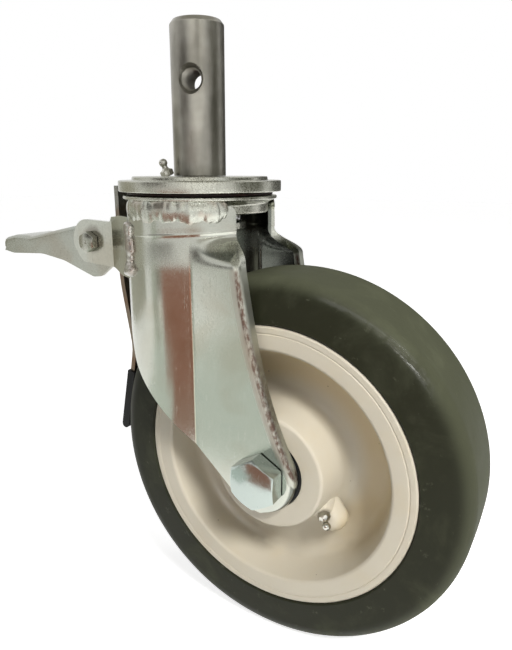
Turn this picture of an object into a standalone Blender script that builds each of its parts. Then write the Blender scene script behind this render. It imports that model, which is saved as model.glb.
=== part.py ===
"""Swivel castor on a round stem, with a pressed two-leg fork and a foot brake.

Metres, +Z up.  The origin is the middle of the stem's top end face, +X is the way the
wheel trails, and the brake pedal points along -X.  The near side is -Y.

The castor is built the way it is made.  The stem is turned from bar and its lower end is
the kingpin, which passes through the top plate, two rows of balls and a king washer to a
nut.  A shallow raceway ring turns between the two rows.  Two pressed legs are welded round
the ring and carry the axle bolt, and two cheeks welded to the legs' front edges carry the
brake lever.  The lever's lobe pushes a leaf whose upper end meets the top plate's rim and
whose rubber shoe meets the tread.
"""

import math

import bmesh
import bpy
import numpy as np
from mathutils import Matrix, Vector

for old in list(bpy.data.objects):
    bpy.data.objects.remove(old, do_unlink=True)

# Running and seating gap between neighbouring pieces
GAP = 0.0003

# Stem, turned from bar, with the kingpin on its lower end
STEM_RADIUS = 0.01746
STEM_LENGTH = 0.0955
STEM_CHAMFER = 0.0026
KINGPIN_RADIUS = 0.012
KINGPIN_TAIL = 0.002
CROSS_HOLE_RADIUS = 0.0066
CROSS_HOLE_DROP = 0.0363
CROSS_HOLE_AZIMUTH = math.radians(18.5)
CROSS_HOLE_CHAMFER = 0.0019

# Raceway ring, which sets the width of the head and of the fork
RING_RADIUS = 0.0462
RING_WALL = 0.0042
RING_FLOOR = 0.006
RING_BORE_CLEARANCE = 0.002
RING_FOOT_CHAMFER = 0.0015
LEG_SHEET = 0.0045
LEG_RADIUS = RING_RADIUS + GAP + LEG_SHEET
LIP_REACH = 0.001
LIP_RADIUS = LEG_RADIUS + LIP_REACH
LIP_THICKNESS = 0.0019
LIP_TAPER = 0.0026

# Dust seal on the lip
SEAL_SPACE = 0.0025
SEAL_SET_IN = 0.0028
SEAL_RADIUS = LIP_RADIUS - SEAL_SET_IN
SEAL_WIDTH = 0.0055

# Top plate with its raised middle
PLATE_OVERHANG = 0.0028
PLATE_RADIUS = LIP_RADIUS + PLATE_OVERHANG
PLATE_THICKNESS = 0.0072
PLATE_EDGE = 0.0007
DISC_SET_IN = 0.0006
DISC_RADIUS = RING_RADIUS - DISC_SET_IN
DISC_RISE = 0.0025

# The two rows of balls
UPPER_BALL_RADIUS = 0.00635
UPPER_WALL_SPACE = 0.00165
UPPER_PITCH_RADIUS = RING_RADIUS - RING_WALL - UPPER_WALL_SPACE - UPPER_BALL_RADIUS
UPPER_RACE_DEPTH = 0.0025
UPPER_BALLS = 12
LOWER_BALL_RADIUS = 0.00475
LOWER_PITCH_RADIUS = 0.024
LOWER_RACE_DEPTH = 0.0015
LOWER_BALLS = 12
RETAINER_THICKNESS = 0.0012
RETAINER_REACH = 0.0022

# King washer and king nut
KING_WASHER_REACH = 0.007
KING_WASHER_RADIUS = LOWER_PITCH_RADIUS + KING_WASHER_REACH
KING_WASHER_THICKNESS = 0.005
KING_NUT_FLATS = 0.036
KING_NUT_HEIGHT = 0.012

# Wheel and axle places
WHEEL_RADIUS = 0.127
WHEEL_LEAD = 0.054
WHEEL_TRAIL = WHEEL_RADIUS - WHEEL_LEAD
WHEEL_TOP_DROP = 0.055
AXLE_DROP = WHEEL_RADIUS + WHEEL_TOP_DROP
LEG_STEP_IN = 0.0055
LEG_PLANE = LEG_RADIUS - LEG_STEP_IN
THRUST_SPACE = 0.0035

# Wheel's core, whose hub, web and rim keep their shares of the wheel's radius
HUB_HALF_LENGTH = LEG_PLANE - LEG_SHEET - THRUST_SPACE
HUB_FACE_RADIUS = WHEEL_RADIUS * 0.2874
HUB_EDGE_ROUND = 0.0025
HUB_DRAFT = 0.0035
HUB_PROUD = 0.0045
WEB_HALF_THICKNESS = 0.0055
WEB_FILLET = WHEEL_RADIUS * 0.071
CORE_RADIUS = WHEEL_RADIUS * 0.7567
CORE_EDGE = 0.0011
RIM_INNER_RADIUS = WHEEL_RADIUS * 0.63
RIM_LIP_ROUND = 0.0025
RIM_DRAFT = 0.0035
HUB_ROOT = HUB_FACE_RADIUS + HUB_EDGE_ROUND + HUB_DRAFT
HUB_FOOT = HUB_ROOT + WEB_FILLET
RIM_ROOT = RIM_INNER_RADIUS - RIM_DRAFT
RIM_FOOT = RIM_ROOT - WEB_FILLET
BOSS_ANGLE = math.radians(-38)
BOSS_RADIUS = 0.0075
BOSS_LENGTH = 0.014
BOSS_HUB_SPACE = 0.011
BOSS_AXLE_DISTANCE = HUB_FACE_RADIUS + BOSS_HUB_SPACE
BOSS_SET_IN = 0.014
BOSS_HALF_WIDTH = HUB_HALF_LENGTH - BOSS_SET_IN

# Tyre
TYRE_HALF_WIDTH = HUB_HALF_LENGTH - HUB_PROUD
SHOULDER_RADIUS = 0.012
SHOULDER_SET_IN = 0.0015
TREAD_HALF_WIDTH = TYRE_HALF_WIDTH - SHOULDER_RADIUS - SHOULDER_SET_IN
TREAD_CROWN = 0.0005

# Bearing, axle bolt and nut
COUNTERBORE_RADIUS = 0.0285
COUNTERBORE_DEPTH = 0.0035
SEAL_FACE_SPACE = 0.0004
BEARING_RADIUS = 0.0193
SLEEVE_RADIUS = 0.0145
AXLE_RADIUS = 0.010
AXLE_FLATS = 0.030
AXLE_HEAD_HEIGHT = 0.0125
AXLE_NUT_HEIGHT = 0.016
AXLE_WASHER_RADIUS = 0.0185
AXLE_WASHER_THICKNESS = 0.003
AXLE_TAIL = 0.003

# Fork legs, pressed from sheet
LEG_FRONT_AZIMUTH = math.radians(-38)
LEG_NECK_AZIMUTH = math.radians(60)
LEG_TOP_CORNER = 0.005
LEG_WELD_SPACE = 0.0033
SHOULDER_TOP_DROP = 0.032
SHOULDER_FOOT_DROP = 0.050
REAR_EDGE_REACH = 0.006
REAR_EDGE_START = LEG_RADIUS + REAR_EDGE_REACH
REAR_EDGE_LEAN = 0.17
EYE_RADIUS = 0.0253
EYE_REAR_REACH = 0.0225
THRUST_WASHER_SPACE = 0.0008
THRUST_WASHER_RADIUS = EYE_REAR_REACH - LEG_SHEET - THRUST_WASHER_SPACE
EYE_REAR_ANGLE = math.radians(31)
FRONT_EDGE_SLOPE = math.radians(42.6)
FRONT_CORNER_ROUND = 0.008
FLANGE_BEND = 0.005
FLANGE_DEPTH = 0.010
FLANGE_DEPTH_AT_EYE = 0.0075

# Brake cheeks, welded to the legs' front edges
CHEEK_SHEET = 0.004
CHEEK_INNER = 0.022
CHEEK_NOSE_REACH = 0.0179
CHEEK_FLARE_RISE = 0.0185
CHEEK_FLARE_FALL = 0.0172
CHEEK_BEND_SPACE = 0.004
CHEEK_BEND_REACH = PLATE_RADIUS + CHEEK_BEND_SPACE
CHEEK_TOP_RISE = 0.0017
CHEEK_FOOT_DROP = 0.0035
PIVOT_DROP = 0.0435
PIVOT_RADIUS = 0.004
PIVOT_FLATS = 0.013
PIVOT_HEAD_HEIGHT = 0.0055
PIVOT_NUT_HEIGHT = 0.0068
PIVOT_WASHER_RADIUS = 0.0083
PIVOT_WASHER_THICKNESS = 0.0015
PIVOT_TAIL = 0.0015

# Brake lever, a pressed channel, open below
LEVER_SIDE_SPACE = 0.0018
LEVER_HALF_WIDTH = CHEEK_INNER - LEVER_SIDE_SPACE
LEVER_SHEET = 0.003
LEVER_TIP_REACH = 0.1065
LEVER_BUSH_RADIUS = 0.0085

# Brake leaf, the ears that ride in grooves of the cheeks, and its rubber shoe
LEAF_SIDE_SPACE = 0.003
LEAF_HALF_WIDTH = CHEEK_INNER - LEAF_SIDE_SPACE
LEAF_SHEET = 0.0035
LEAF_TRAVEL = 0.001
LEAF_STOP_SPACE = 0.0017
LEAF_PLATE_SPACE = LEAF_TRAVEL + LEAF_STOP_SPACE
LEAF_TOP_DROP = 0.004
LEAF_BEND_DROP = 0.070
LEAF_SET_IN = 0.19
LEAF_BEND_ROUND = 0.004
EAR_RISE = 0.0055
EAR_FALL = 0.0065
EAR_TOP_DROP = PIVOT_DROP - EAR_RISE
EAR_FOOT_DROP = PIVOT_DROP + EAR_FALL
GROOVE_DEPTH = 0.0015
SHOE_TILT = math.radians(11.3)
SHOE_STOP_SPACE = 0.0006
SHOE_SPACE = LEAF_TRAVEL + SHOE_STOP_SPACE
SHOE_SHEET = 0.0012
SHOE_RISE = 0.041
SHOE_FALL = 0.009
SHOE_TOP_DROP = AXLE_DROP - SHOE_RISE
SHOE_END_DROP = AXLE_DROP + SHOE_FALL
SHOE_FOOT = 0.005
LEVER_LEAF_SPACE = 0.0185
PIVOT_REACH = PLATE_RADIUS + LEAF_PLATE_SPACE + LEAF_SHEET + LEVER_LEAF_SPACE

# Grease nipples and weld beads
NIPPLE_FLATS = 0.0073
NIPPLE_HEX_HEIGHT = 0.004
NIPPLE_LENGTH = 0.0125
NIPPLE_NECK_RADIUS = 0.0019
NIPPLE_BALL_RADIUS = 0.0028
PLATE_NIPPLE_RADIUS = 0.0226
PLATE_NIPPLE_AZIMUTH = math.radians(-40)
PLATE_NIPPLE_LEAN = math.radians(20)
RING_BEAD_RADIUS = LEG_RADIUS + 0.0019
RING_BEAD_REACH = 0.0085
RING_BEAD_END = LEG_NECK_AZIMUTH - 0.1
CHEEK_BEAD_WIDTH = 0.0045
CHEEK_BEAD_HEIGHT = 0.0019
CHEEK_BEAD_SHIFT = 0.0015

# Facets round each kind of piece
WHEEL_FACETS = 48
RING_FACETS = 40
BOLT_FACETS = 24
BUSH_FACETS = 24

# Levels down the swivel, worked out from the sizes above
DISC_TOP = -STEM_LENGTH
PLATE_TOP = DISC_TOP - DISC_RISE
PLATE_BOTTOM = PLATE_TOP - PLATE_THICKNESS
UPPER_BALL_LEVEL = PLATE_BOTTOM + UPPER_RACE_DEPTH - UPPER_BALL_RADIUS
FLOOR_TOP = UPPER_BALL_LEVEL - UPPER_BALL_RADIUS + UPPER_RACE_DEPTH
FLOOR_BOTTOM = FLOOR_TOP - RING_FLOOR
LIP_TOP = PLATE_BOTTOM - SEAL_SPACE
LIP_BOTTOM = LIP_TOP - LIP_THICKNESS
LOWER_BALL_LEVEL = FLOOR_BOTTOM + LOWER_RACE_DEPTH - LOWER_BALL_RADIUS
KING_WASHER_TOP = LOWER_BALL_LEVEL - LOWER_BALL_RADIUS + LOWER_RACE_DEPTH
KING_NUT_TOP = KING_WASHER_TOP - KING_WASHER_THICKNESS - GAP
KINGPIN_END = KING_NUT_TOP - KING_NUT_HEIGHT - KINGPIN_TAIL
LEG_TOP = LIP_BOTTOM - LEG_WELD_SPACE
AXLE_LEVEL = PLATE_TOP - AXLE_DROP
AXLE = Vector((WHEEL_TRAIL, 0.0, AXLE_LEVEL))
PIVOT = Vector((-PIVOT_REACH, 0.0, PLATE_TOP - PIVOT_DROP))
LEG_INNER = LEG_PLANE - LEG_SHEET
CHEEK_OUTER = CHEEK_INNER + CHEEK_SHEET
LEAF_FACE = PLATE_RADIUS + LEAF_PLATE_SPACE


# Materials

def material(name, colour, roughness, metallic):
    """Make one Principled material."""
    made = bpy.data.materials.new(name)
    made.use_nodes = True
    shader = made.node_tree.nodes["Principled BSDF"]
    shader.inputs["Base Color"].default_value = (*colour, 1.0)
    shader.inputs["Roughness"].default_value = roughness
    shader.inputs["Metallic"].default_value = metallic
    made.diffuse_color = (*colour, 1.0)
    return made


ZINC = material("zinc_plate", (0.62, 0.62, 0.60), 0.35, 0.9)
BARE_STEEL = material("bare_steel", (0.33, 0.31, 0.28), 0.35, 0.95)
HARD_STEEL = material("hard_steel", (0.45, 0.45, 0.46), 0.2, 1.0)
CREAM_PAINT = material("cream_paint", (0.80, 0.71, 0.55), 0.4, 0.0)
TYRE_RUBBER = material("tyre_rubber", (0.06, 0.06, 0.045), 0.5, 0.0)
BLACK_RUBBER = material("black_rubber", (0.012, 0.013, 0.016), 0.55, 0.0)
SEAL_FELT = material("seal_felt", (0.07, 0.025, 0.018), 0.8, 0.0)
WELD_STEEL = material("weld_steel", (0.55, 0.52, 0.48), 0.45, 0.8)
NIPPLE_STEEL = material("nipple_steel", (0.6, 0.58, 0.52), 0.25, 1.0)


# Solids

def add_solid(name, vertices, faces, finish, smooth=35.0):
    """Make one closed object with its faces pointing outwards."""
    mesh = bpy.data.meshes.new(name)
    mesh.from_pydata([tuple(v) for v in vertices], [], faces)
    work = bmesh.new()
    work.from_mesh(mesh)
    bmesh.ops.remove_doubles(work, verts=work.verts, dist=1e-6)
    bmesh.ops.dissolve_degenerate(work, edges=work.edges, dist=1e-6)
    bmesh.ops.recalc_face_normals(work, faces=work.faces)
    work.to_mesh(mesh)
    work.free()
    mesh.shade_smooth()
    mesh.set_sharp_from_angle(angle=math.radians(smooth))
    mesh.materials.append(finish)
    made = bpy.data.objects.new(name, mesh)
    bpy.context.scene.collection.objects.link(made)
    return made


def skin(name, rings, finish, closed=False, smooth=35.0):
    """Cover a run of rings, each with as many points, and cap or close its ends."""
    rings = np.asarray(rings, dtype=float)
    count, around = rings.shape[:2]
    faces = []
    for row in range(count if closed else count - 1):
        after = (row + 1) % count
        for step in range(around):
            turn = (step + 1) % around
            faces.append((row * around + step, row * around + turn,
                          after * around + turn, after * around + step))
    if not closed:
        faces.append(tuple(range(around))[::-1])
        faces.append(tuple((count - 1) * around + step for step in range(around)))
    return add_solid(name, rings.reshape(-1, 3), faces, finish, smooth)


def circle(radius, height, facets):
    """Points of a circle about local Z."""
    turn = np.arange(facets) * (2.0 * math.pi / facets)
    return np.stack([radius * np.cos(turn), radius * np.sin(turn),
                     np.full(facets, height)], axis=1)


def hexagon(flats, height, facets=BOLT_FACETS):
    """Points of a hexagon about local Z, as many as a circle has."""
    turn = np.arange(facets) * (2.0 * math.pi / facets)
    within = (turn + math.pi / 6.0) % (math.pi / 3.0) - math.pi / 6.0
    reach = flats / 2.0 / np.cos(within)
    return np.stack([reach * np.cos(turn), reach * np.sin(turn),
                     np.full(facets, height)], axis=1)


def turned(name, profile, finish, facets=RING_FACETS, smooth=35.0):
    """Turn a closed (radius, height) outline about local Z."""
    rings = [circle(radius, height, facets) for radius, height in profile]
    return skin(name, rings, finish, closed=True, smooth=smooth)


def shell(name, outer, inner, finish, smooth=35.0):
    """Close the space between two grids of points, a pressed sheet's two faces."""
    outer = np.asarray(outer, dtype=float)
    inner = np.asarray(inner, dtype=float)
    rows, columns = outer.shape[:2]
    under = rows * columns
    faces = []
    for row in range(rows - 1):
        for column in range(columns - 1):
            a = row * columns + column
            quad = (a, a + 1, a + columns + 1, a + columns)
            faces.append(quad)
            faces.append(tuple(under + corner for corner in reversed(quad)))
    rim = [column for column in range(columns)]
    rim += [row * columns + columns - 1 for row in range(1, rows)]
    rim += [(rows - 1) * columns + column for column in range(columns - 2, -1, -1)]
    rim += [row * columns for row in range(rows - 2, 0, -1)]
    for here, following in zip(rim, rim[1:] + rim[:1]):
        faces.append((following, here, under + here, under + following))
    points = np.concatenate([outer.reshape(-1, 3), inner.reshape(-1, 3)])
    return add_solid(name, points, faces, finish, smooth)


def prism(name, outline, low, high, finish, smooth=35.0):
    """Push an (x, z) outline along Y from low to high."""
    rings = [[(x, y, z) for x, z in outline] for y in (low, high)]
    return skin(name, rings, finish, smooth=smooth)


def rounded(corners, steps=5):
    """Outline through (x, z, radius) corners, with an arc at each rounded one."""
    outline = []
    count = len(corners)
    for index, (x, z, radius) in enumerate(corners):
        here = Vector((x, z))
        if radius == 0.0:
            outline.append((x, z))
            continue
        before = (Vector(corners[index - 1][:2]) - here).normalized()
        after = (Vector(corners[(index + 1) % count][:2]) - here).normalized()
        half = before.angle(after) / 2.0
        middle = here + (before + after).normalized() * (radius / math.sin(half))
        first = here + before * (radius / math.tan(half)) - middle
        last = here + after * (radius / math.tan(half)) - middle
        sweep = first.angle_signed(last)
        for step in range(steps + 1):
            spoke = first.copy()
            spoke.rotate(Matrix.Rotation(-sweep * step / steps, 2))
            outline.append(tuple(middle + spoke))
    return outline


def place(piece, location=(0.0, 0.0, 0.0), rotation=(0.0, 0.0, 0.0), parent=None):
    """Set a piece's place, relative to what it is parented to."""
    piece.location = location
    piece.rotation_euler = rotation
    piece.parent = parent
    return piece


def pivot(name, location, parent=None):
    """Make an empty on a joint's axis."""
    made = bpy.data.objects.new(name, None)
    made.empty_display_size = 0.01
    bpy.context.scene.collection.objects.link(made)
    return place(made, location, parent=parent)


def combine(piece, tool, operation):
    """Cut a tool from a piece, or join it on, with an exact Boolean."""
    tool.hide_render = True
    tool.display_type = "WIRE"
    change = piece.modifiers.new(tool.name, "BOOLEAN")
    change.operation = operation
    change.solver = "EXACT"
    change.object = tool
    return piece


def mirrored(piece, name):
    """Copy a piece to the far side, mirrored across the middle plane."""
    mesh = piece.data.copy()
    mesh.name = name
    mesh.transform(Matrix.Diagonal((1.0, -1.0, 1.0, 1.0)))
    mesh.flip_normals()
    made = bpy.data.objects.new(name, mesh)
    bpy.context.scene.collection.objects.link(made)
    place(made, parent=piece.parent)
    return made


ALONG_Y = (-math.pi / 2.0, 0.0, 0.0)
AGAINST_Y = (math.pi / 2.0, 0.0, 0.0)

swivel = pivot("swivel_axis", (0.0, 0.0, 0.0))
wheel_axis = pivot("wheel_axis", AXLE, swivel)
lever_axis = pivot("lever_axis", PIVOT, swivel)


# Stem, plate and the two ball rows

def race_arc(pitch, ball, level, side):
    """Groove across a flat face for a ball row, with side +1 for a face above the balls."""
    reach = ball + GAP
    face = UPPER_RACE_DEPTH if ball == UPPER_BALL_RADIUS else LOWER_RACE_DEPTH
    half = math.acos((ball - face) / reach)
    turns = np.linspace(-half, half, 5)
    return [(pitch + reach * math.sin(t), level + side * reach * math.cos(t)) for t in turns]


def build_stem():
    """Stem bar with chamfered end, cross hole and the kingpin below its shoulder."""
    facets = 40
    rings = [circle(STEM_RADIUS - STEM_CHAMFER, 0.0, facets),
             circle(STEM_RADIUS - STEM_CHAMFER * 0.3, -STEM_CHAMFER * 0.45, facets),
             circle(STEM_RADIUS, -STEM_CHAMFER * 1.3, facets),
             circle(STEM_RADIUS, DISC_TOP + GAP, facets),
             circle(KINGPIN_RADIUS, DISC_TOP + GAP, facets),
             circle(KINGPIN_RADIUS, KINGPIN_END + 0.001, facets),
             circle(KINGPIN_RADIUS - 0.001, KINGPIN_END, facets)]
    stem = skin("stem", rings, BARE_STEEL)
    reach = STEM_RADIUS + 0.004
    mouth = math.sqrt(STEM_RADIUS ** 2 - CROSS_HOLE_RADIUS ** 2)
    flare = CROSS_HOLE_RADIUS + CROSS_HOLE_CHAMFER + (reach - mouth) - CROSS_HOLE_CHAMFER
    drill = skin("stem_drill", [circle(flare, -reach, 20),
                                circle(CROSS_HOLE_RADIUS, -mouth + CROSS_HOLE_CHAMFER, 20),
                                circle(CROSS_HOLE_RADIUS, mouth - CROSS_HOLE_CHAMFER, 20),
                                circle(flare, reach, 20)], BARE_STEEL)
    place(drill, (0.0, 0.0, -CROSS_HOLE_DROP), (math.pi / 2.0, 0.0, CROSS_HOLE_AZIMUTH))
    return combine(stem, drill, "DIFFERENCE")


def build_plate():
    """Top plate: a raised disc on a flat plate, with the upper race turned in below."""
    bore = KINGPIN_RADIUS + GAP
    groove = race_arc(UPPER_PITCH_RADIUS, UPPER_BALL_RADIUS, UPPER_BALL_LEVEL, 1.0)
    profile = [(bore, DISC_TOP), (DISC_RADIUS - PLATE_EDGE, DISC_TOP),
               (DISC_RADIUS, DISC_TOP - PLATE_EDGE), (DISC_RADIUS, PLATE_TOP),
               (PLATE_RADIUS - PLATE_EDGE, PLATE_TOP),
               (PLATE_RADIUS, PLATE_TOP - PLATE_EDGE),
               (PLATE_RADIUS, PLATE_BOTTOM + PLATE_EDGE),
               (PLATE_RADIUS - PLATE_EDGE, PLATE_BOTTOM)]
    profile += groove[::-1] + [(bore, PLATE_BOTTOM)]
    return turned("top_plate", profile, ZINC)


def build_ball_row(name, pitch, ball, level, count):
    """A row of balls held in a thin retainer ring, as one piece."""
    half = RETAINER_THICKNESS / 2.0
    row = turned(name, [(pitch - RETAINER_REACH, level - half),
                        (pitch + RETAINER_REACH, level - half),
                        (pitch + RETAINER_REACH, level + half),
                        (pitch - RETAINER_REACH, level + half)], HARD_STEEL, facets=BUSH_FACETS)
    turns = np.linspace(-math.pi / 2.0, math.pi / 2.0, 5)
    balls = []
    for index in range(count):
        azimuth = 2.0 * math.pi * (index + 0.5) / count
        centre = np.array([pitch * math.cos(azimuth), pitch * math.sin(azimuth), level])
        balls.append((centre, [circle(max(ball * math.cos(t), 1e-5), ball * math.sin(t), 8)
                               + centre for t in turns]))
    work = bmesh.new()
    for centre, rings in balls:
        rows = [[work.verts.new(point) for point in ring] for ring in rings[1:-1]]
        low = work.verts.new(centre - np.array([0.0, 0.0, ball]))
        high = work.verts.new(centre + np.array([0.0, 0.0, ball]))
        for step in range(8):
            turn = (step + 1) % 8
            work.faces.new((low, rows[0][turn], rows[0][step]))
            work.faces.new((high, rows[-1][step], rows[-1][turn]))
            for under, over in zip(rows, rows[1:]):
                work.faces.new((under[step], under[turn], over[turn], over[step]))
    mesh = bpy.data.meshes.new(name + "_balls")
    work.to_mesh(mesh)
    work.free()
    tool = bpy.data.objects.new(name + "_balls", mesh)
    bpy.context.scene.collection.objects.link(tool)
    return combine(row, tool, "UNION")


def build_king_parts():
    """King washer with the lower race, and the king nut."""
    bore = KINGPIN_RADIUS + GAP
    groove = race_arc(LOWER_PITCH_RADIUS, LOWER_BALL_RADIUS, LOWER_BALL_LEVEL, -1.0)
    low = KING_WASHER_TOP - KING_WASHER_THICKNESS
    profile = [(bore, KING_WASHER_TOP)] + groove
    profile += [(KING_WASHER_RADIUS, KING_WASHER_TOP),
                (KING_WASHER_RADIUS, low + 0.001), (KING_WASHER_RADIUS - 0.001, low),
                (bore, low)]
    turned("king_washer", profile, ZINC, facets=BUSH_FACETS)
    build_nut("king_nut", KING_NUT_FLATS, KINGPIN_RADIUS, KING_NUT_HEIGHT,
              (0.0, 0.0, KING_NUT_TOP - KING_NUT_HEIGHT), (0.0, 0.0, 0.0), None)


def build_nut(name, flats, bolt_radius, height, location, rotation, parent):
    """Hexagon nut with chamfered corners, from its own base up local Z."""
    edge = flats * 0.035
    bore = bolt_radius + GAP
    rings = [circle(bore + edge, 0.0, BOLT_FACETS), circle(flats * 0.475, 0.0, BOLT_FACETS),
             hexagon(flats, edge), hexagon(flats, height - edge),
             circle(flats * 0.475, height, BOLT_FACETS), circle(bore, height, BOLT_FACETS),
             circle(bore, edge, BOLT_FACETS)]
    nut = skin(name, rings, ZINC, closed=True)
    return place(nut, location, rotation, parent)


def build_bolt(name, flats, radius, head, shank, location, rotation, parent):
    """Hexagon bolt: its head stands along local +Z and its shank runs down -Z."""
    edge = flats * 0.035
    rings = [circle(radius * 0.85, -shank, BOLT_FACETS),
             circle(radius, -shank + radius * 0.15, BOLT_FACETS),
             circle(radius, 0.0, BOLT_FACETS), circle(flats * 0.475, 0.0, BOLT_FACETS),
             hexagon(flats, edge), hexagon(flats, head - edge),
             circle(flats * 0.475, head, BOLT_FACETS)]
    bolt = skin(name, rings, ZINC)
    return place(bolt, location, rotation, parent)


def build_nipple(name, location, rotation, parent):
    """Grease nipple: hexagon, neck and ball end, standing on its own base."""
    rings = [hexagon(NIPPLE_FLATS, 0.0, 12), hexagon(NIPPLE_FLATS, NIPPLE_HEX_HEIGHT, 12),
             circle(NIPPLE_NECK_RADIUS + 0.0006, NIPPLE_HEX_HEIGHT + 0.0008, 12)]
    ball_level = NIPPLE_LENGTH - NIPPLE_BALL_RADIUS
    neck_turn = -math.acos(NIPPLE_NECK_RADIUS / NIPPLE_BALL_RADIUS)
    for turn in np.linspace(neck_turn, math.radians(65), 5):
        rings.append(circle(NIPPLE_BALL_RADIUS * math.cos(turn),
                            ball_level + NIPPLE_BALL_RADIUS * math.sin(turn), 12))
    return place(skin(name, rings, NIPPLE_STEEL), location, rotation, parent)


# Raceway ring and seal of the fork

def build_ring():
    """Shallow raceway cup with a spread lip, raced above and below its floor."""
    bore = KINGPIN_RADIUS + RING_BORE_CLEARANCE
    above = race_arc(UPPER_PITCH_RADIUS, UPPER_BALL_RADIUS, UPPER_BALL_LEVEL, -1.0)
    below = race_arc(LOWER_PITCH_RADIUS, LOWER_BALL_RADIUS, LOWER_BALL_LEVEL, 1.0)
    wall = RING_RADIUS - RING_WALL
    profile = [(bore, FLOOR_TOP)] + above
    profile += [(wall, FLOOR_TOP), (wall, LIP_TOP), (LIP_RADIUS, LIP_TOP),
                (LIP_RADIUS, LIP_BOTTOM), (RING_RADIUS, LIP_BOTTOM - LIP_TAPER),
                (RING_RADIUS, FLOOR_BOTTOM + RING_FOOT_CHAMFER),
                (RING_RADIUS - RING_FOOT_CHAMFER, FLOOR_BOTTOM)]
    profile += below[::-1] + [(bore, FLOOR_BOTTOM)]
    place(turned("raceway_ring", profile, ZINC), parent=swivel)
    seal = [(SEAL_RADIUS - SEAL_WIDTH, LIP_TOP + GAP), (SEAL_RADIUS, LIP_TOP + GAP),
            (SEAL_RADIUS, PLATE_BOTTOM - GAP), (SEAL_RADIUS - SEAL_WIDTH, PLATE_BOTTOM - GAP)]
    place(turned("dust_seal", seal, SEAL_FELT), parent=swivel)


# Fork legs

CREASE_AZIMUTH = math.acos(LEG_PLANE / LEG_RADIUS)
CREASE_X = LEG_RADIUS * math.sin(CREASE_AZIMUTH)
CREASE_RUN = LEG_RADIUS * CREASE_AZIMUTH
NECK_RUN = LEG_RADIUS * LEG_NECK_AZIMUTH
SHOULDER_TOP = PLATE_TOP - SHOULDER_TOP_DROP
SHOULDER_FOOT = PLATE_TOP - SHOULDER_FOOT_DROP
EYE_FRONT_ANGLE = math.radians(-90) - FRONT_EDGE_SLOPE


def ease(value):
    """Smooth step from 0 to 1."""
    value = min(max(value, 0.0), 1.0)
    return value * value * (3.0 - 2.0 * value)


def spread(level):
    """How far the leg has spread from the ring's cylinder to the flat wheel side."""
    return ease((SHOULDER_TOP - level) / (SHOULDER_TOP - SHOULDER_FOOT))


def leg_point(run, level):
    """Outer face of the near leg at an arc length along its section, and a level."""
    azimuth = run / LEG_RADIUS
    x, y = LEG_RADIUS * math.sin(azimuth), -LEG_RADIUS * math.cos(azimuth)
    if run > CREASE_RUN:
        share = spread(level)
        x += share * (CREASE_X + run - CREASE_RUN - x)
        y += share * (-LEG_PLANE - y)
    return np.array([x, y, level])


def leg_normal(run, level):
    """Outward unit normal of the leg's outer face."""
    step = 2e-4
    across = leg_point(run + step, level) - leg_point(run - step, level)
    down = leg_point(run, level - step) - leg_point(run, level + step)
    normal = np.cross(down, across)
    return normal / np.linalg.norm(normal)


def front_x(level):
    """The leg's front edge: upright, then a straight slope down to the eye."""
    upright = LEG_RADIUS * math.sin(LEG_FRONT_AZIMUTH)
    away = Vector((math.cos(EYE_FRONT_ANGLE), math.sin(EYE_FRONT_ANGLE))) * EYE_RADIUS
    touch_x, touch_z = WHEEL_TRAIL + away.x, AXLE_LEVEL + away.y
    if level < touch_z:
        return WHEEL_TRAIL - math.sqrt(max(EYE_RADIUS ** 2 - (level - AXLE_LEVEL) ** 2, 0.0))
    slope = touch_x - (level - touch_z) / math.tan(FRONT_EDGE_SLOPE)
    blend = FRONT_CORNER_ROUND
    over = slope - upright
    return upright + (over + math.sqrt(over * over + blend * blend)) / 2.0


def rear_x(level):
    """The leg's rear edge: a hollow sweep from the shoulder, tangent to the eye."""
    touch_x = WHEEL_TRAIL + EYE_REAR_REACH * math.cos(EYE_REAR_ANGLE)
    touch_z = AXLE_LEVEL + EYE_RADIUS * math.sin(EYE_REAR_ANGLE)
    if level < touch_z:
        sunk = (level - AXLE_LEVEL) / EYE_RADIUS
        return WHEEL_TRAIL + EYE_REAR_REACH * math.sqrt(max(1.0 - sunk ** 2, 0.0))
    start_z = SHOULDER_FOOT
    if level > start_z:
        return REAR_EDGE_START
    span = start_z - touch_z
    t = (start_z - level) / span
    ends = (2 * t ** 3 - 3 * t ** 2 + 1) * REAR_EDGE_START + (3 * t ** 2 - 2 * t ** 3) * touch_x
    leans = (t ** 3 - 2 * t ** 2 + t) * span * REAR_EDGE_LEAN
    end_lean = math.tan(EYE_REAR_ANGLE) * EYE_REAR_REACH / EYE_RADIUS
    leans += (t ** 3 - t ** 2) * span * end_lean
    return ends + leans


def run_of(x):
    """Arc length along the lower section at a given x."""
    if x < CREASE_X:
        return LEG_RADIUS * math.asin(x / LEG_RADIUS)
    return CREASE_RUN + x - CREASE_X


def leg_rows():
    """Levels of the leg's rows: close at the corner, the shoulder and the eye."""
    rows = [LEG_TOP, LEG_TOP - 0.001, LEG_TOP - 0.0025, LEG_TOP - LEG_TOP_CORNER]
    rows += list(np.linspace(SHOULDER_TOP, SHOULDER_FOOT, 8))
    crease_end = AXLE_LEVEL
    low, high = AXLE_LEVEL, SHOULDER_FOOT
    for _ in range(40):
        crease_end = (low + high) / 2.0
        if front_x(crease_end) > CREASE_X:
            low = crease_end
        else:
            high = crease_end
    rows += list(np.linspace(SHOULDER_FOOT, crease_end, 9)[1:])
    rows += list(np.linspace(crease_end, AXLE_LEVEL, 3)[1:])
    for turn in (30, 52, 68, 80, 86):
        rows.append(AXLE_LEVEL - EYE_RADIUS * math.sin(math.radians(turn)))
    return rows


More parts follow.
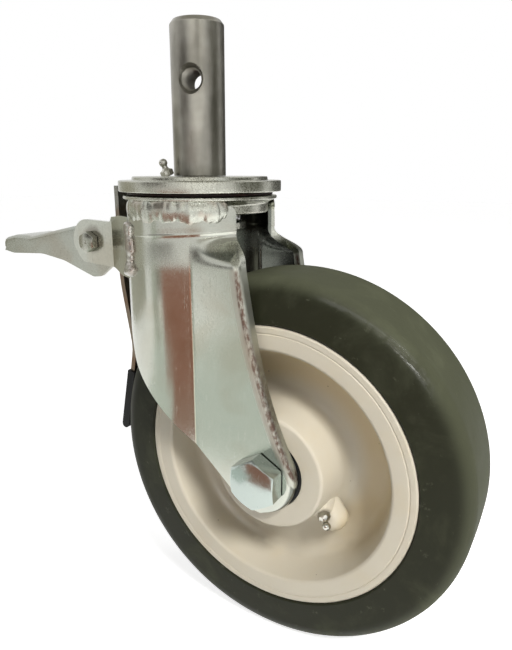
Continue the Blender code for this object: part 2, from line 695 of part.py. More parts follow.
def leg_row(level):
    """Outer and inner points of the leg across one level."""
    corner = 0.0
    if level > LEG_TOP - LEG_TOP_CORNER:
        rise = level - (LEG_TOP - LEG_TOP_CORNER)
        corner = LEG_TOP_CORNER - math.sqrt(max(LEG_TOP_CORNER ** 2 - rise ** 2, 0.0))
    share = spread(level)
    angle = share * math.pi / 2.0
    front = run_of(front_x(level))
    flat_end = run_of(rear_x(level) - FLANGE_BEND)
    rear = NECK_RUN * (1.0 - share) + flat_end * share - corner
    rear = max(rear, front + 0.0004)
    crease = min(max(CREASE_RUN, front), rear)
    runs = list(np.linspace(front, crease, 8)) + list(np.linspace(crease, rear, 6)[1:])
    outer = [leg_point(run, level) for run in runs]
    normals = [leg_normal(run, level) for run in runs]
    along = leg_point(rear, level) - leg_point(rear - 1e-4, level)
    along[2] = 0.0
    along /= np.linalg.norm(along)
    inward = np.array([-along[1], along[0], 0.0])
    upright = normals[-1] * np.array([0.0, 0.0, 1.0])
    below = ease((SHOULDER_FOOT - level) / (SHOULDER_FOOT - AXLE_LEVEL))
    depth = FLANGE_DEPTH + (FLANGE_DEPTH_AT_EYE - FLANGE_DEPTH) * below
    end = outer[-1]
    for part in (0.34, 0.67, 1.0):
        turn = angle * part
        outer.append(end + FLANGE_BEND * (math.sin(turn) * along
                                          + (1.0 - math.cos(turn)) * inward))
        normal = math.sin(turn) * along - math.cos(turn) * inward
        normal = normal + upright * math.cos(turn)
        normals.append(normal / np.linalg.norm(normal))
    reach = (depth - FLANGE_BEND) * share
    outer.append(outer[-1] + reach * (math.cos(angle) * along + math.sin(angle) * inward))
    normals.append(normals[-1])
    inner = [point - LEG_SHEET * normal for point, normal in zip(outer, normals)]
    return outer, inner


def build_legs():
    """Near leg as a pressed sheet with the axle hole, and its mirror on the far side."""
    rows = [leg_row(level) for level in leg_rows()]
    outer = [row[0] for row in rows]
    inner = [row[1] for row in rows]
    drill = skin("axle_drill", [circle(AXLE_RADIUS + GAP, -0.07, BOLT_FACETS),
                                circle(AXLE_RADIUS + GAP, 0.07, BOLT_FACETS)], ZINC)
    place(drill, AXLE, ALONG_Y, swivel)
    near = place(shell("near_leg", outer, inner, ZINC), parent=swivel)
    far = mirrored(near, "far_leg")
    combine(near, drill, "DIFFERENCE")
    combine(far, drill, "DIFFERENCE")


def build_ring_weld():
    """Weld bead that joins a leg's top edge to the ring, lumpy along its length."""
    low = LEG_TOP + GAP
    taper = LIP_TAPER / (LIP_RADIUS - RING_RADIUS)
    rings = []
    for share in np.linspace(0.0, 1.0, 27):
        azimuth = LEG_FRONT_AZIMUTH + 0.02 + share * (RING_BEAD_END - LEG_FRONT_AZIMUTH)
        lump = 0.0004 * math.sin(31.0 * share) + 0.0003 * math.sin(73.0 * share + 1.0)
        inside, skirt, crest = LEG_RADIUS - 0.4 * LEG_SHEET, LEG_RADIUS + GAP, RING_BEAD_RADIUS + lump
        under = [LIP_BOTTOM - taper * (LIP_RADIUS - radius) - GAP * 1.6
                 for radius in (inside, skirt)]
        foot = LEG_TOP - RING_BEAD_REACH - 2.0 * lump
        ring = []
        for radius, level in ((inside, low), (skirt, low), (skirt, foot),
                              (skirt + 0.5 * (crest - skirt), foot), (crest, foot + 0.002),
                              (crest, under[1] - 0.002), (skirt, under[1]), (inside, under[0])):
            ring.append((radius * math.sin(azimuth), -radius * math.cos(azimuth), level))
        rings.append(ring)
    near = place(skin("ring_weld_near", rings, WELD_STEEL), parent=swivel)
    mirrored(near, "ring_weld_far")


# Brake cheeks and their welds

CHEEK_TOP = PIVOT.z + CHEEK_FLARE_RISE
CHEEK_FOOT = PIVOT.z - CHEEK_FLARE_FALL
FRONT_OUT = np.array([math.sin(LEG_FRONT_AZIMUTH), -math.cos(LEG_FRONT_AZIMUTH)])
FRONT_BACK = np.array([FRONT_OUT[1], -FRONT_OUT[0]])
FLARE_START = np.array([-CHEEK_BEND_REACH, -CHEEK_OUTER])
FLARE_END = LEG_RADIUS * FRONT_OUT + GAP * FRONT_BACK
FLARE_TURN = math.atan2(FLARE_START[1] - FLARE_END[1], FLARE_END[0] - FLARE_START[0])


def build_cheeks():
    """Near cheek: a rounded plate flared outwards to butt on the leg, and its mirror."""
    unit = CHEEK_NOSE_REACH / 17.9
    stations = []
    for along, low, high in ((-17.7, -1.8, 2.4), (-16.6, -5.2, 6.4), (-14.9, -8.2, 9.7),
                             (-12.6, -11.4, 12.4), (-8.2, -15.2, 15.0), (-3.7, -15.6, 15.7),
                             (20.3, -17.1, 14.6)):
        x = PIVOT.x + along * unit
        stations.append(((x, -CHEEK_OUTER), (x, -CHEEK_INNER),
                         PIVOT.z + low * unit, PIVOT.z + high * unit))
    bend_inner = FLARE_START + CHEEK_SHEET * np.array([math.tan(FLARE_TURN / 2.0), 1.0])
    end_inner = FLARE_END - CHEEK_SHEET * FRONT_OUT
    for share, foot, top in ((0.0, 0.0, 0.0), (0.3, 0.6, 0.8), (0.8, 1.0, 1.0),
                             (1.0, 1.0, 1.0)):
        out = FLARE_START + share * (FLARE_END - FLARE_START)
        ins = bend_inner + share * (end_inner - bend_inner)
        stations.append((tuple(out), tuple(ins), CHEEK_FOOT - foot * CHEEK_FOOT_DROP,
                         CHEEK_TOP + top * CHEEK_TOP_RISE))
    outer, inner = [], []
    for out, ins, low, high in stations:
        levels = np.linspace(low, high, 6)
        outer.append([(out[0], out[1], level) for level in levels])
        inner.append([(ins[0], ins[1], level) for level in levels])
    near = place(shell("brake_cheek_near", outer, inner, ZINC), parent=swivel)
    far = mirrored(near, "brake_cheek_far")
    drill = skin("pivot_drill", [circle(PIVOT_RADIUS + GAP, -0.03, BOLT_FACETS),
                                 circle(PIVOT_RADIUS + GAP, 0.03, BOLT_FACETS)], ZINC)
    place(drill, PIVOT, ALONG_Y, swivel)
    low, high = PLATE_TOP - EAR_FOOT_DROP - GAP, PLATE_TOP - EAR_TOP_DROP + GAP
    first = -LEAF_FACE - LEAF_SHEET - GAP
    last = -LEAF_FACE + LEAF_TRAVEL + GAP
    reach = CHEEK_INNER + GROOVE_DEPTH
    groove = prism("groove_cutter", [(first, low), (last, low), (last, high), (first, high)],
                   -reach, reach, ZINC)
    place(groove, parent=swivel)
    for cheek in (near, far):
        combine(cheek, drill, "DIFFERENCE")
        combine(cheek, groove, "DIFFERENCE")


def build_cheek_weld():
    """Lumpy upright bead over the joint of a cheek's flare and the leg's front edge."""
    rings = []
    for share in np.linspace(0.0, 1.0, 15):
        level = CHEEK_TOP - 0.001 + share * (CHEEK_FOOT - CHEEK_FOOT_DROP + 0.002 - CHEEK_TOP)
        lump = 0.88 + 0.12 * math.sin(19.0 * share)
        lump *= math.sqrt(max(1.0 - (2.0 * share - 1.0) ** 6, 0.1))
        wide, tall = CHEEK_BEAD_WIDTH * lump, CHEEK_BEAD_HEIGHT * lump
        ring = []
        for across, rise in ((-1.0, 0.0), (-0.75, 0.55), (0.0, 1.0), (0.75, 0.55), (1.0, 0.0)):
            lift = LEG_RADIUS + 0.0005 + rise * tall
            if across < 0.0:
                lift -= across * wide * 0.3
            azimuth = LEG_FRONT_AZIMUTH + (across * wide + CHEEK_BEAD_SHIFT) / LEG_RADIUS
            ring.append((lift * math.sin(azimuth), -lift * math.cos(azimuth), level))
        rings.append(ring)
    near = place(skin("cheek_weld_near", rings, WELD_STEEL), parent=swivel)
    mirrored(near, "cheek_weld_far")


# Brake leaf and shoe

def leaf_face(drop):
    """The leaf's wheel-side face: upright, set in, then tilted out along the tread."""
    reach = WHEEL_RADIUS + SHOE_SPACE + SHOE_SHEET + GAP
    shoe = WHEEL_TRAIL - reach / math.cos(SHOE_TILT) + (AXLE_DROP - drop) * math.tan(SHOE_TILT)
    over = LEAF_SET_IN * (drop - LEAF_BEND_DROP)
    lean = (over + math.sqrt(over * over + LEAF_BEND_ROUND ** 2 / 4.0)) / 2.0 - LEAF_FACE
    apart = lean - shoe
    return (lean + shoe - math.sqrt(apart * apart + LEAF_BEND_ROUND ** 2 / 4.0)) / 2.0


def leaf_section(drops, outwards):
    """Points of a sheet about the leaf's two faces, set outwards from both of them."""
    front, back = [], []
    for drop in drops:
        lean = (leaf_face(drop + 0.001) - leaf_face(drop - 0.001)) / 0.002
        normal = np.array([-1.0, -lean]) / math.hypot(lean, 1.0)
        point = np.array([leaf_face(drop), PLATE_TOP - drop])
        front.append(point - outwards * normal)
        back.append(point + (LEAF_SHEET + outwards) * normal)
    return front, back


SHOE_DROPS = list(np.linspace(SHOE_TOP_DROP, SHOE_END_DROP - SHOE_FOOT, 6))


def build_leaf():
    """Leaf with the ears that ride in the cheeks' grooves."""
    drops = [LEAF_TOP_DROP, LEAF_BEND_DROP / 2.0, LEAF_BEND_DROP - 2.0 * LEAF_BEND_ROUND]
    drops += list(np.linspace(LEAF_BEND_DROP - LEAF_BEND_ROUND / 2.0,
                              SHOE_TOP_DROP - SHOE_FOOT, 12))
    front, back = leaf_section(drops + SHOE_DROPS, 0.0)
    outline = [tuple(point) for point in front] + [tuple(point) for point in back[::-1]]
    leaf = prism("brake_leaf", outline, -LEAF_HALF_WIDTH, LEAF_HALF_WIDTH, ZINC)
    low, high = PLATE_TOP - EAR_FOOT_DROP, PLATE_TOP - EAR_TOP_DROP
    first, last = -LEAF_FACE - LEAF_SHEET * 0.95, -LEAF_FACE - LEAF_SHEET * 0.05
    reach = CHEEK_INNER + GROOVE_DEPTH - GAP
    ears = prism("leaf_ears", [(first, low), (last, low), (last, high), (first, high)],
                 -reach, reach, ZINC)
    place(leaf, parent=swivel)
    place(ears, parent=swivel)
    combine(leaf, ears, "UNION")


def build_shoe():
    """Rubber shoe: a boot pulled over the leaf's lower end, rounded at its foot."""
    outer = leaf_section(SHOE_DROPS, SHOE_SHEET + GAP)
    front, back = outer[0][-1], outer[1][-1]
    middle, half = (front + back) / 2.0, np.linalg.norm(front - back) / 2.0
    across = (front - back) / (2.0 * half)
    down = np.array([across[1], -across[0]])
    foot = [tuple(middle + half * (math.cos(turn) * across + math.sin(turn) * down))
            for turn in np.linspace(0.0, math.pi, 7)[1:-1]]
    outline = [tuple(point) for point in outer[0]] + foot
    outline += [tuple(point) for point in outer[1][::-1]]
    width = LEAF_HALF_WIDTH + SHOE_SHEET + GAP
    shoe = prism("brake_shoe", outline, -width, width, BLACK_RUBBER)
    inner = leaf_section([SHOE_TOP_DROP - SHOE_FOOT] + SHOE_DROPS[1:], GAP)
    mouth = [tuple(point) for point in inner[0][:-1]]
    mouth += [tuple(inner[0][-1] + down * GAP), tuple(inner[1][-1] + down * GAP)]
    mouth += [tuple(point) for point in inner[1][-2::-1]]
    core = LEAF_HALF_WIDTH + GAP
    pocket = prism("shoe_pocket", mouth, -core, core, BLACK_RUBBER)
    place(shoe, parent=swivel)
    place(pocket, parent=swivel)
    combine(shoe, pocket, "DIFFERENCE")


# Brake lever

def build_lever():
    """Pedal lever: a channel with a lobed body at the pivot and a rounded toe pad."""
    unit = LEVER_TIP_REACH / 106.5
    outline = rounded([(along * unit, up * unit, radius * unit) for along, up, radius in (
        (13.0, 11.2, 7.0), (-22.0, 10.0, 20.0), (-74.5, -1.0, 20.0), (-81.0, -0.4, 3.0),
        (-92.0, -0.6, 10.0), (-106.5, -4.0, 6.0), (-106.5, -13.6, 6.0),
        (-94.0, -15.4, 6.0), (-60.0, -13.6, 60.0), (-36.0, -17.3, 20.0),
        (-6.0, -27.5, 8.0), (2.0, -26.5, 5.0), (13.2, -18.0, 3.0))])
    lever = prism("brake_lever", outline, -LEVER_HALF_WIDTH, LEVER_HALF_WIDTH, ZINC)
    under = LEVER_SHEET / unit
    inside = rounded([(along * unit, up * unit, radius * unit) for along, up, radius in (
        (30.0, 11.2 - under, 0.0), (-22.0, 10.0 - under, 20.0),
        (-74.5, -1.0 - under, 20.0), (-92.0, -0.6 - under, 10.0),
        (under - 106.5, -9.0, 0.0), (under - 106.5, -40.0, 0.0), (30.0, -40.0, 0.0))])
    width = LEVER_HALF_WIDTH - LEVER_SHEET
    hollow = prism("lever_hollow", inside, -width, width, ZINC)
    hole = skin("lever_drill", [circle(LEVER_BUSH_RADIUS + GAP, -0.03, BOLT_FACETS),
                                circle(LEVER_BUSH_RADIUS + GAP, 0.03, BOLT_FACETS)], ZINC)
    place(lever, parent=lever_axis)
    place(hollow, parent=lever_axis)
    place(hole, (0.0, 0.0, 0.0), ALONG_Y, lever_axis)
    combine(lever, hollow, "DIFFERENCE")
    combine(lever, hole, "DIFFERENCE")
    half = CHEEK_INNER - GAP
    bush = skin("lever_bush", [circle(PIVOT_RADIUS + GAP, -half, BOLT_FACETS),
                               circle(LEVER_BUSH_RADIUS, -half, BOLT_FACETS),
                               circle(LEVER_BUSH_RADIUS, half, BOLT_FACETS),
                               circle(PIVOT_RADIUS + GAP, half, BOLT_FACETS)],
                HARD_STEEL, closed=True)
    place(bush, PIVOT, ALONG_Y, swivel)


def build_pivot_bolt():
    """Pivot bolt through both cheeks, with a washer and nut on the far side."""
    seat = CHEEK_OUTER + GAP
    nut_seat = seat + PIVOT_WASHER_THICKNESS + GAP
    shank = seat + nut_seat + PIVOT_NUT_HEIGHT + PIVOT_TAIL
    build_bolt("pivot_bolt", PIVOT_FLATS, PIVOT_RADIUS, PIVOT_HEAD_HEIGHT, shank,
               (PIVOT.x, -seat, PIVOT.z), AGAINST_Y, swivel)
    washer = turned("pivot_washer", [(PIVOT_RADIUS + GAP, 0.0), (PIVOT_WASHER_RADIUS, 0.0),
                                     (PIVOT_WASHER_RADIUS, PIVOT_WASHER_THICKNESS),
                                     (PIVOT_RADIUS + GAP, PIVOT_WASHER_THICKNESS)],
                    ZINC, facets=BOLT_FACETS)
    place(washer, (PIVOT.x, seat, PIVOT.z), ALONG_Y, swivel)
    build_nut("pivot_nut", PIVOT_FLATS, PIVOT_RADIUS, PIVOT_NUT_HEIGHT,
              (PIVOT.x, nut_seat, PIVOT.z), ALONG_Y, swivel)


# Wheel and axle

def arc(centre_r, centre_y, radius, start, end, steps):
    """Points of an arc in the wheel's section, as (radius, half width)."""
    turns = np.radians(np.linspace(start, end, steps))
    return [(centre_r + radius * math.cos(t), centre_y + radius * math.sin(t)) for t in turns]


def hub_side():
    """One side of the hub's section, from the bore out to the foot of its fillet."""
    floor = HUB_HALF_LENGTH - COUNTERBORE_DEPTH
    side = [(BEARING_RADIUS, floor), (COUNTERBORE_RADIUS, floor),
            (COUNTERBORE_RADIUS, HUB_HALF_LENGTH)]
    side += arc(HUB_FACE_RADIUS, HUB_HALF_LENGTH - HUB_EDGE_ROUND, HUB_EDGE_ROUND, 90, 8, 3)
    side += arc(HUB_FOOT, WEB_HALF_THICKNESS + WEB_FILLET, WEB_FILLET, 188, 270, 3)
    return side


def rim_side():
    """One side of the rim's section, from the foot of its fillet out to the tyre seat."""
    side = arc(RIM_FOOT, WEB_HALF_THICKNESS + WEB_FILLET, WEB_FILLET, -90, -6, 3)
    side += arc(RIM_INNER_RADIUS + RIM_LIP_ROUND, TYRE_HALF_WIDTH - RIM_LIP_ROUND,
                RIM_LIP_ROUND, 174, 90, 3)
    side += [(CORE_RADIUS - CORE_EDGE, TYRE_HALF_WIDTH), (CORE_RADIUS, TYRE_HALF_WIDTH - CORE_EDGE)]
    return side


def build_core():
    """Wheel core as hub, web and rim, split so that collision stays out of the dish."""
    web = [(HUB_FOOT + GAP, WEB_HALF_THICKNESS), (RIM_FOOT - GAP, WEB_HALF_THICKNESS)]
    for name, side in (("wheel_core", hub_side()), ("wheel_web", web), ("wheel_rim", rim_side())):
        profile = side + [(radius, -half) for radius, half in side[::-1]]
        ring = turned(name, profile, CREAM_PAINT, facets=WHEEL_FACETS)
        place(ring, (0.0, 0.0, 0.0), ALONG_Y, wheel_axis)
    boss = skin("core_boss", [circle(BOSS_RADIUS * 1.5, -BOSS_LENGTH, 16),
                              circle(BOSS_RADIUS * 1.25, -BOSS_LENGTH / 3.0, 16),
                              circle(BOSS_RADIUS, 0.0, 16)], CREAM_PAINT)
    place(boss, boss_point(), boss_turn(), wheel_axis)
    combine(bpy.data.objects["wheel_core"], boss, "UNION")


def boss_axis():
    """Way the boss and its nipple point: out from the hub and to the near side."""
    return Vector((math.cos(BOSS_ANGLE), -1.0, math.sin(BOSS_ANGLE))).normalized()


def boss_point():
    """Middle of the boss's face, from the axle's middle."""
    return Vector((math.cos(BOSS_ANGLE) * BOSS_AXLE_DISTANCE, -BOSS_HALF_WIDTH,
                   math.sin(BOSS_ANGLE) * BOSS_AXLE_DISTANCE))


def boss_turn():
    """Rotation that takes local Z to the boss's axis."""
    return boss_axis().to_track_quat("Z", "Y").to_euler()


def build_tyre():
    """Solid tyre moulded on the core, with round shoulders and a faint crown."""
    bore = CORE_RADIUS + GAP
    crown = WHEEL_RADIUS - TREAD_CROWN
    side = [(bore, TYRE_HALF_WIDTH - CORE_EDGE), (bore + CORE_EDGE, TYRE_HALF_WIDTH)]
    side += [(radius, half) for radius, half in
             [(crown - SHOULDER_RADIUS, TREAD_HALF_WIDTH + SHOULDER_RADIUS)]]
    side += [(crown - SHOULDER_RADIUS + SHOULDER_RADIUS * math.sin(math.radians(t)),
              TREAD_HALF_WIDTH + SHOULDER_RADIUS * math.cos(math.radians(t)))
             for t in (22, 45, 68, 90)]
    side += [(WHEEL_RADIUS - TREAD_CROWN * 0.2, TREAD_HALF_WIDTH * 0.45)]
    profile = side + [(radius, -half) for radius, half in side[::-1]]
    tyre = turned("tyre", profile, TYRE_RUBBER, facets=WHEEL_FACETS)
    place(tyre, (0.0, 0.0, 0.0), ALONG_Y, wheel_axis)


def build_bearing():
    """Roller bearing, the black seals in the counterbores, and the thrust washers."""
    floor = HUB_HALF_LENGTH - COUNTERBORE_DEPTH
    inner = SLEEVE_RADIUS + GAP
    roller = turned("roller_bearing", [(inner, -floor), (BEARING_RADIUS - GAP, -floor),
                                       (BEARING_RADIUS - GAP, floor), (inner, floor)],
                    HARD_STEEL, facets=BUSH_FACETS)
    place(roller, (0.0, 0.0, 0.0), ALONG_Y, wheel_axis)
    for name, side in (("hub_seal_near", -1.0), ("hub_seal_far", 1.0)):
        low, high = floor + GAP, HUB_HALF_LENGTH - SEAL_FACE_SPACE
        seal = turned(name, [(inner, low), (COUNTERBORE_RADIUS - GAP, low),
                             (COUNTERBORE_RADIUS - GAP, high), (inner, high)],
                      BLACK_RUBBER, facets=BUSH_FACETS)
        place(seal, (0.0, 0.0, 0.0), ALONG_Y if side > 0 else AGAINST_Y, wheel_axis)
    inside = AXLE_RADIUS + GAP
    half = LEG_INNER - GAP
    sleeve = turned("axle_sleeve", [(inside, -half), (SLEEVE_RADIUS, -half),
                                    (SLEEVE_RADIUS, half), (inside, half)],
                    HARD_STEEL, facets=BUSH_FACETS)
    place(sleeve, AXLE, ALONG_Y, swivel)
    for name, turn in (("thrust_washer_near", AGAINST_Y), ("thrust_washer_far", ALONG_Y)):
        low, high = HUB_HALF_LENGTH + GAP, LEG_INNER - GAP
        washer = turned(name, [(inner, low), (THRUST_WASHER_RADIUS, low),
                               (THRUST_WASHER_RADIUS, high), (inner, high)],
                        BLACK_RUBBER, facets=BUSH_FACETS)
        place(washer, AXLE, turn, swivel)


def build_axle():
    """Axle bolt with its head on the near leg, and a washer and nut on the far leg."""
    seat = LEG_PLANE + GAP
    nut_seat = seat + AXLE_WASHER_THICKNESS + GAP
    shank = seat + nut_seat + AXLE_NUT_HEIGHT + AXLE_TAIL
    build_bolt("axle_bolt", AXLE_FLATS, AXLE_RADIUS, AXLE_HEAD_HEIGHT, shank,
               AXLE + Vector((0.0, -seat, 0.0)), AGAINST_Y, swivel)
    washer = turned("axle_washer", [(AXLE_RADIUS + GAP, 0.0), (AXLE_WASHER_RADIUS, 0.0),
                                    (AXLE_WASHER_RADIUS, AXLE_WASHER_THICKNESS),
                                    (AXLE_RADIUS + GAP, AXLE_WASHER_THICKNESS)],
                    ZINC, facets=BOLT_FACETS)
    place(washer, AXLE + Vector((0.0, seat, 0.0)), ALONG_Y, swivel)
    build_nut("axle_nut", AXLE_FLATS, AXLE_RADIUS, AXLE_NUT_HEIGHT,
              AXLE + Vector((0.0, nut_seat, 0.0)), ALONG_Y, swivel)


build_stem()
build_plate()
build_ball_row("upper_ball_row", UPPER_PITCH_RADIUS, UPPER_BALL_RADIUS, UPPER_BALL_LEVEL,
               UPPER_BALLS)
build_ball_row("lower_ball_row", LOWER_PITCH_RADIUS, LOWER_BALL_RADIUS, LOWER_BALL_LEVEL,
               LOWER_BALLS)
build_king_parts()
lean = Vector((math.sin(PLATE_NIPPLE_AZIMUTH), -math.cos(PLATE_NIPPLE_AZIMUTH), 0.0))
upwards = lean * math.sin(PLATE_NIPPLE_LEAN) + Vector((0.0, 0.0, math.cos(PLATE_NIPPLE_LEAN)))
foot = math.sin(PLATE_NIPPLE_LEAN) * NIPPLE_FLATS * 0.58 + GAP
build_nipple("plate_grease_nipple", lean * PLATE_NIPPLE_RADIUS
             + Vector((0.0, 0.0, DISC_TOP + foot)),
             upwards.to_track_quat("Z", "Y").to_euler(), None)
build_ring()
build_legs()
build_ring_weld()
build_cheeks()
build_cheek_weld()
build_leaf()
build_shoe()
build_lever()
build_pivot_bolt()
build_core()
build_tyre()
build_bearing()
build_axle()
build_nipple("hub_grease_nipple", boss_point() + boss_axis() * GAP, boss_turn(), wheel_axis)
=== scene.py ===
"""Looks of a braked swivel castor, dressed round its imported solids.

Lengths are in metres in the solids' frame: the origin is the middle of the stem's top
face, +Z is up, +X is the way the wheel trails and the near side is -Y.
"""

import logging
import math
from dataclasses import dataclass, field
from enum import Enum

import bmesh
import bpy
import numpy as np
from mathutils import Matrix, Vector


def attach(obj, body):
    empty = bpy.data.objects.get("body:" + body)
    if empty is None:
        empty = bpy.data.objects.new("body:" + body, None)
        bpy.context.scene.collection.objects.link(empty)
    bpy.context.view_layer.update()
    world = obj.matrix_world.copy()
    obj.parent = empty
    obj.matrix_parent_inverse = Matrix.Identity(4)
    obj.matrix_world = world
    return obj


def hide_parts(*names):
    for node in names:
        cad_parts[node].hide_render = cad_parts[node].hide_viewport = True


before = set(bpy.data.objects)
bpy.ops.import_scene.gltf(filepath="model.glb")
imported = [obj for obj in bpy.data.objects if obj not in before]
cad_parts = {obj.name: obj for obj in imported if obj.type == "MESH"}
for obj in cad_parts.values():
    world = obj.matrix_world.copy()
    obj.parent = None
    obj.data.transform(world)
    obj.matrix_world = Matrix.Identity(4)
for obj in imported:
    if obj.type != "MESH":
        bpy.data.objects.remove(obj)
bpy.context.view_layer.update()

LOG = logging.getLogger("castor")
MM = 0.001
FULL_TURN = 2.0 * math.pi


class Side(Enum):
    """Side of the castor's middle plane."""

    NEAR = -1.0
    FAR = 1.0


class Facing(Enum):
    """Way a turned piece's own axis points once it is in place."""

    UP = ((1.0, 0.0, 0.0), (0.0, 1.0, 0.0), (0.0, 0.0, 1.0))
    FAR_SIDE = ((1.0, 0.0, 0.0), (0.0, 0.0, -1.0), (0.0, 1.0, 0.0))
    NEAR_SIDE = ((1.0, 0.0, 0.0), (0.0, 0.0, 1.0), (0.0, -1.0, 0.0))


# Levels and places that several pieces share, as the solids have them

@dataclass(frozen=True)
class Layout:
    """Sizes that the sub-assemblies share."""

    gap: float = 0.3 * MM
    stem_radius: float = 17.46 * MM
    disc_top: float = -95.5 * MM
    plate_top: float = -98.0 * MM
    plate_bottom: float = -105.2 * MM
    lip_top: float = -107.7 * MM
    lip_bottom: float = -109.6 * MM
    leg_top: float = -112.9 * MM
    kingpin_radius: float = 12.0 * MM
    axle_x: float = 73.0 * MM
    axle_z: float = -280.0 * MM
    pivot_x: float = -79.5 * MM
    pivot_z: float = -141.5 * MM
    wheel_radius: float = 127.0 * MM
    leg_plane: float = 45.5 * MM

    @property
    def axle(self) -> np.ndarray:
        """Middle of the axle."""
        return np.array([self.axle_x, 0.0, self.axle_z])

    @property
    def pivot(self) -> np.ndarray:
        """Middle of the brake pivot."""
        return np.array([self.pivot_x, 0.0, self.pivot_z])


PLACE = Layout()


# Shader expressions

class Value:
    """A shader value that can stand in a Python expression."""

    def __init__(self, nodes: "Nodes", socket: bpy.types.NodeSocket) -> None:
        """Wrap a socket.

        Args:
            nodes: node tree that the socket belongs to.
            socket: output socket that carries the value.
        """
        self.nodes = nodes
        self.socket = socket

    def _math(self, operation: str, first: object, second: object = None) -> "Value":
        """Add a Math node.

        Args:
            operation: the Math node's operation.
            first: value or number of its first socket.
            second: value or number of its second socket, if it has one.

        Returns:
            The node's result.
        """
        inputs = {0: first} if second is None else {0: first, 1: second}
        node = self.nodes.node("ShaderNodeMath", {"operation": operation}, inputs)
        return Value(self.nodes, node.outputs[0])

    def __add__(self, other: object) -> "Value":
        """Sum."""
        return self._math("ADD", self, other)

    def __radd__(self, other: object) -> "Value":
        """Sum with a number on the left."""
        return self._math("ADD", other, self)

    def __sub__(self, other: object) -> "Value":
        """Difference."""
        return self._math("SUBTRACT", self, other)

    def __rsub__(self, other: object) -> "Value":
        """Difference with a number on the left."""
        return self._math("SUBTRACT", other, self)

    def __mul__(self, other: object) -> "Value":
        """Product."""
        return self._math("MULTIPLY", self, other)

    def __rmul__(self, other: object) -> "Value":
        """Product with a number on the left."""
        return self._math("MULTIPLY", other, self)

    def __pow__(self, other: object) -> "Value":
        """Power."""
        return self._math("POWER", self, other)

    def root(self) -> "Value":
        """Square root."""
        return self._math("SQRT", self)

    def at_least(self, other: object) -> "Value":
        """The larger of this and another value or number."""
        return self._math("MAXIMUM", self, other)

    def above(self, low: float, high: float) -> "Value":
        """Smooth step.

        Args:
            low: value that gives 0.
            high: value that gives 1.

        Returns:
            A value from 0 to 1.
        """
        node = self.nodes.node("ShaderNodeMapRange", {"interpolation_type": "SMOOTHSTEP"},
                               {0: self, 1: low, 2: high})
        return Value(self.nodes, node.outputs[0])


class Nodes:
    """A node tree and the one way in which nodes are added to it."""

    def __init__(self, tree: bpy.types.NodeTree) -> None:
        """Empty a tree.

        Args:
            tree: tree of a material or of the world.
        """
        self.tree = tree
        self.tree.nodes.clear()

    def give(self, socket: bpy.types.NodeSocket, given: object) -> None:
        """Link or set one input.

        Args:
            socket: the input.
            given: a value, an output socket or a constant.
        """
        if isinstance(given, Value):
            given = given.socket
        if isinstance(given, bpy.types.NodeSocket):
            self.tree.links.new(given, socket)
        else:
            socket.default_value = given

    def node(self, kind: str, settings: dict | None = None,
             inputs: dict | None = None) -> bpy.types.Node:
        """Add one node.

        Args:
            kind: the node's type.
            settings: attributes to set first.
            inputs: socket index or name to a value, a socket or a constant.

        Returns:
            The node.
        """
        made = self.tree.nodes.new(kind)
        for key, setting in (settings or {}).items():
            setattr(made, key, setting)
        for key, given in (inputs or {}).items():
            self.give(made.inputs[key], given)
        return made


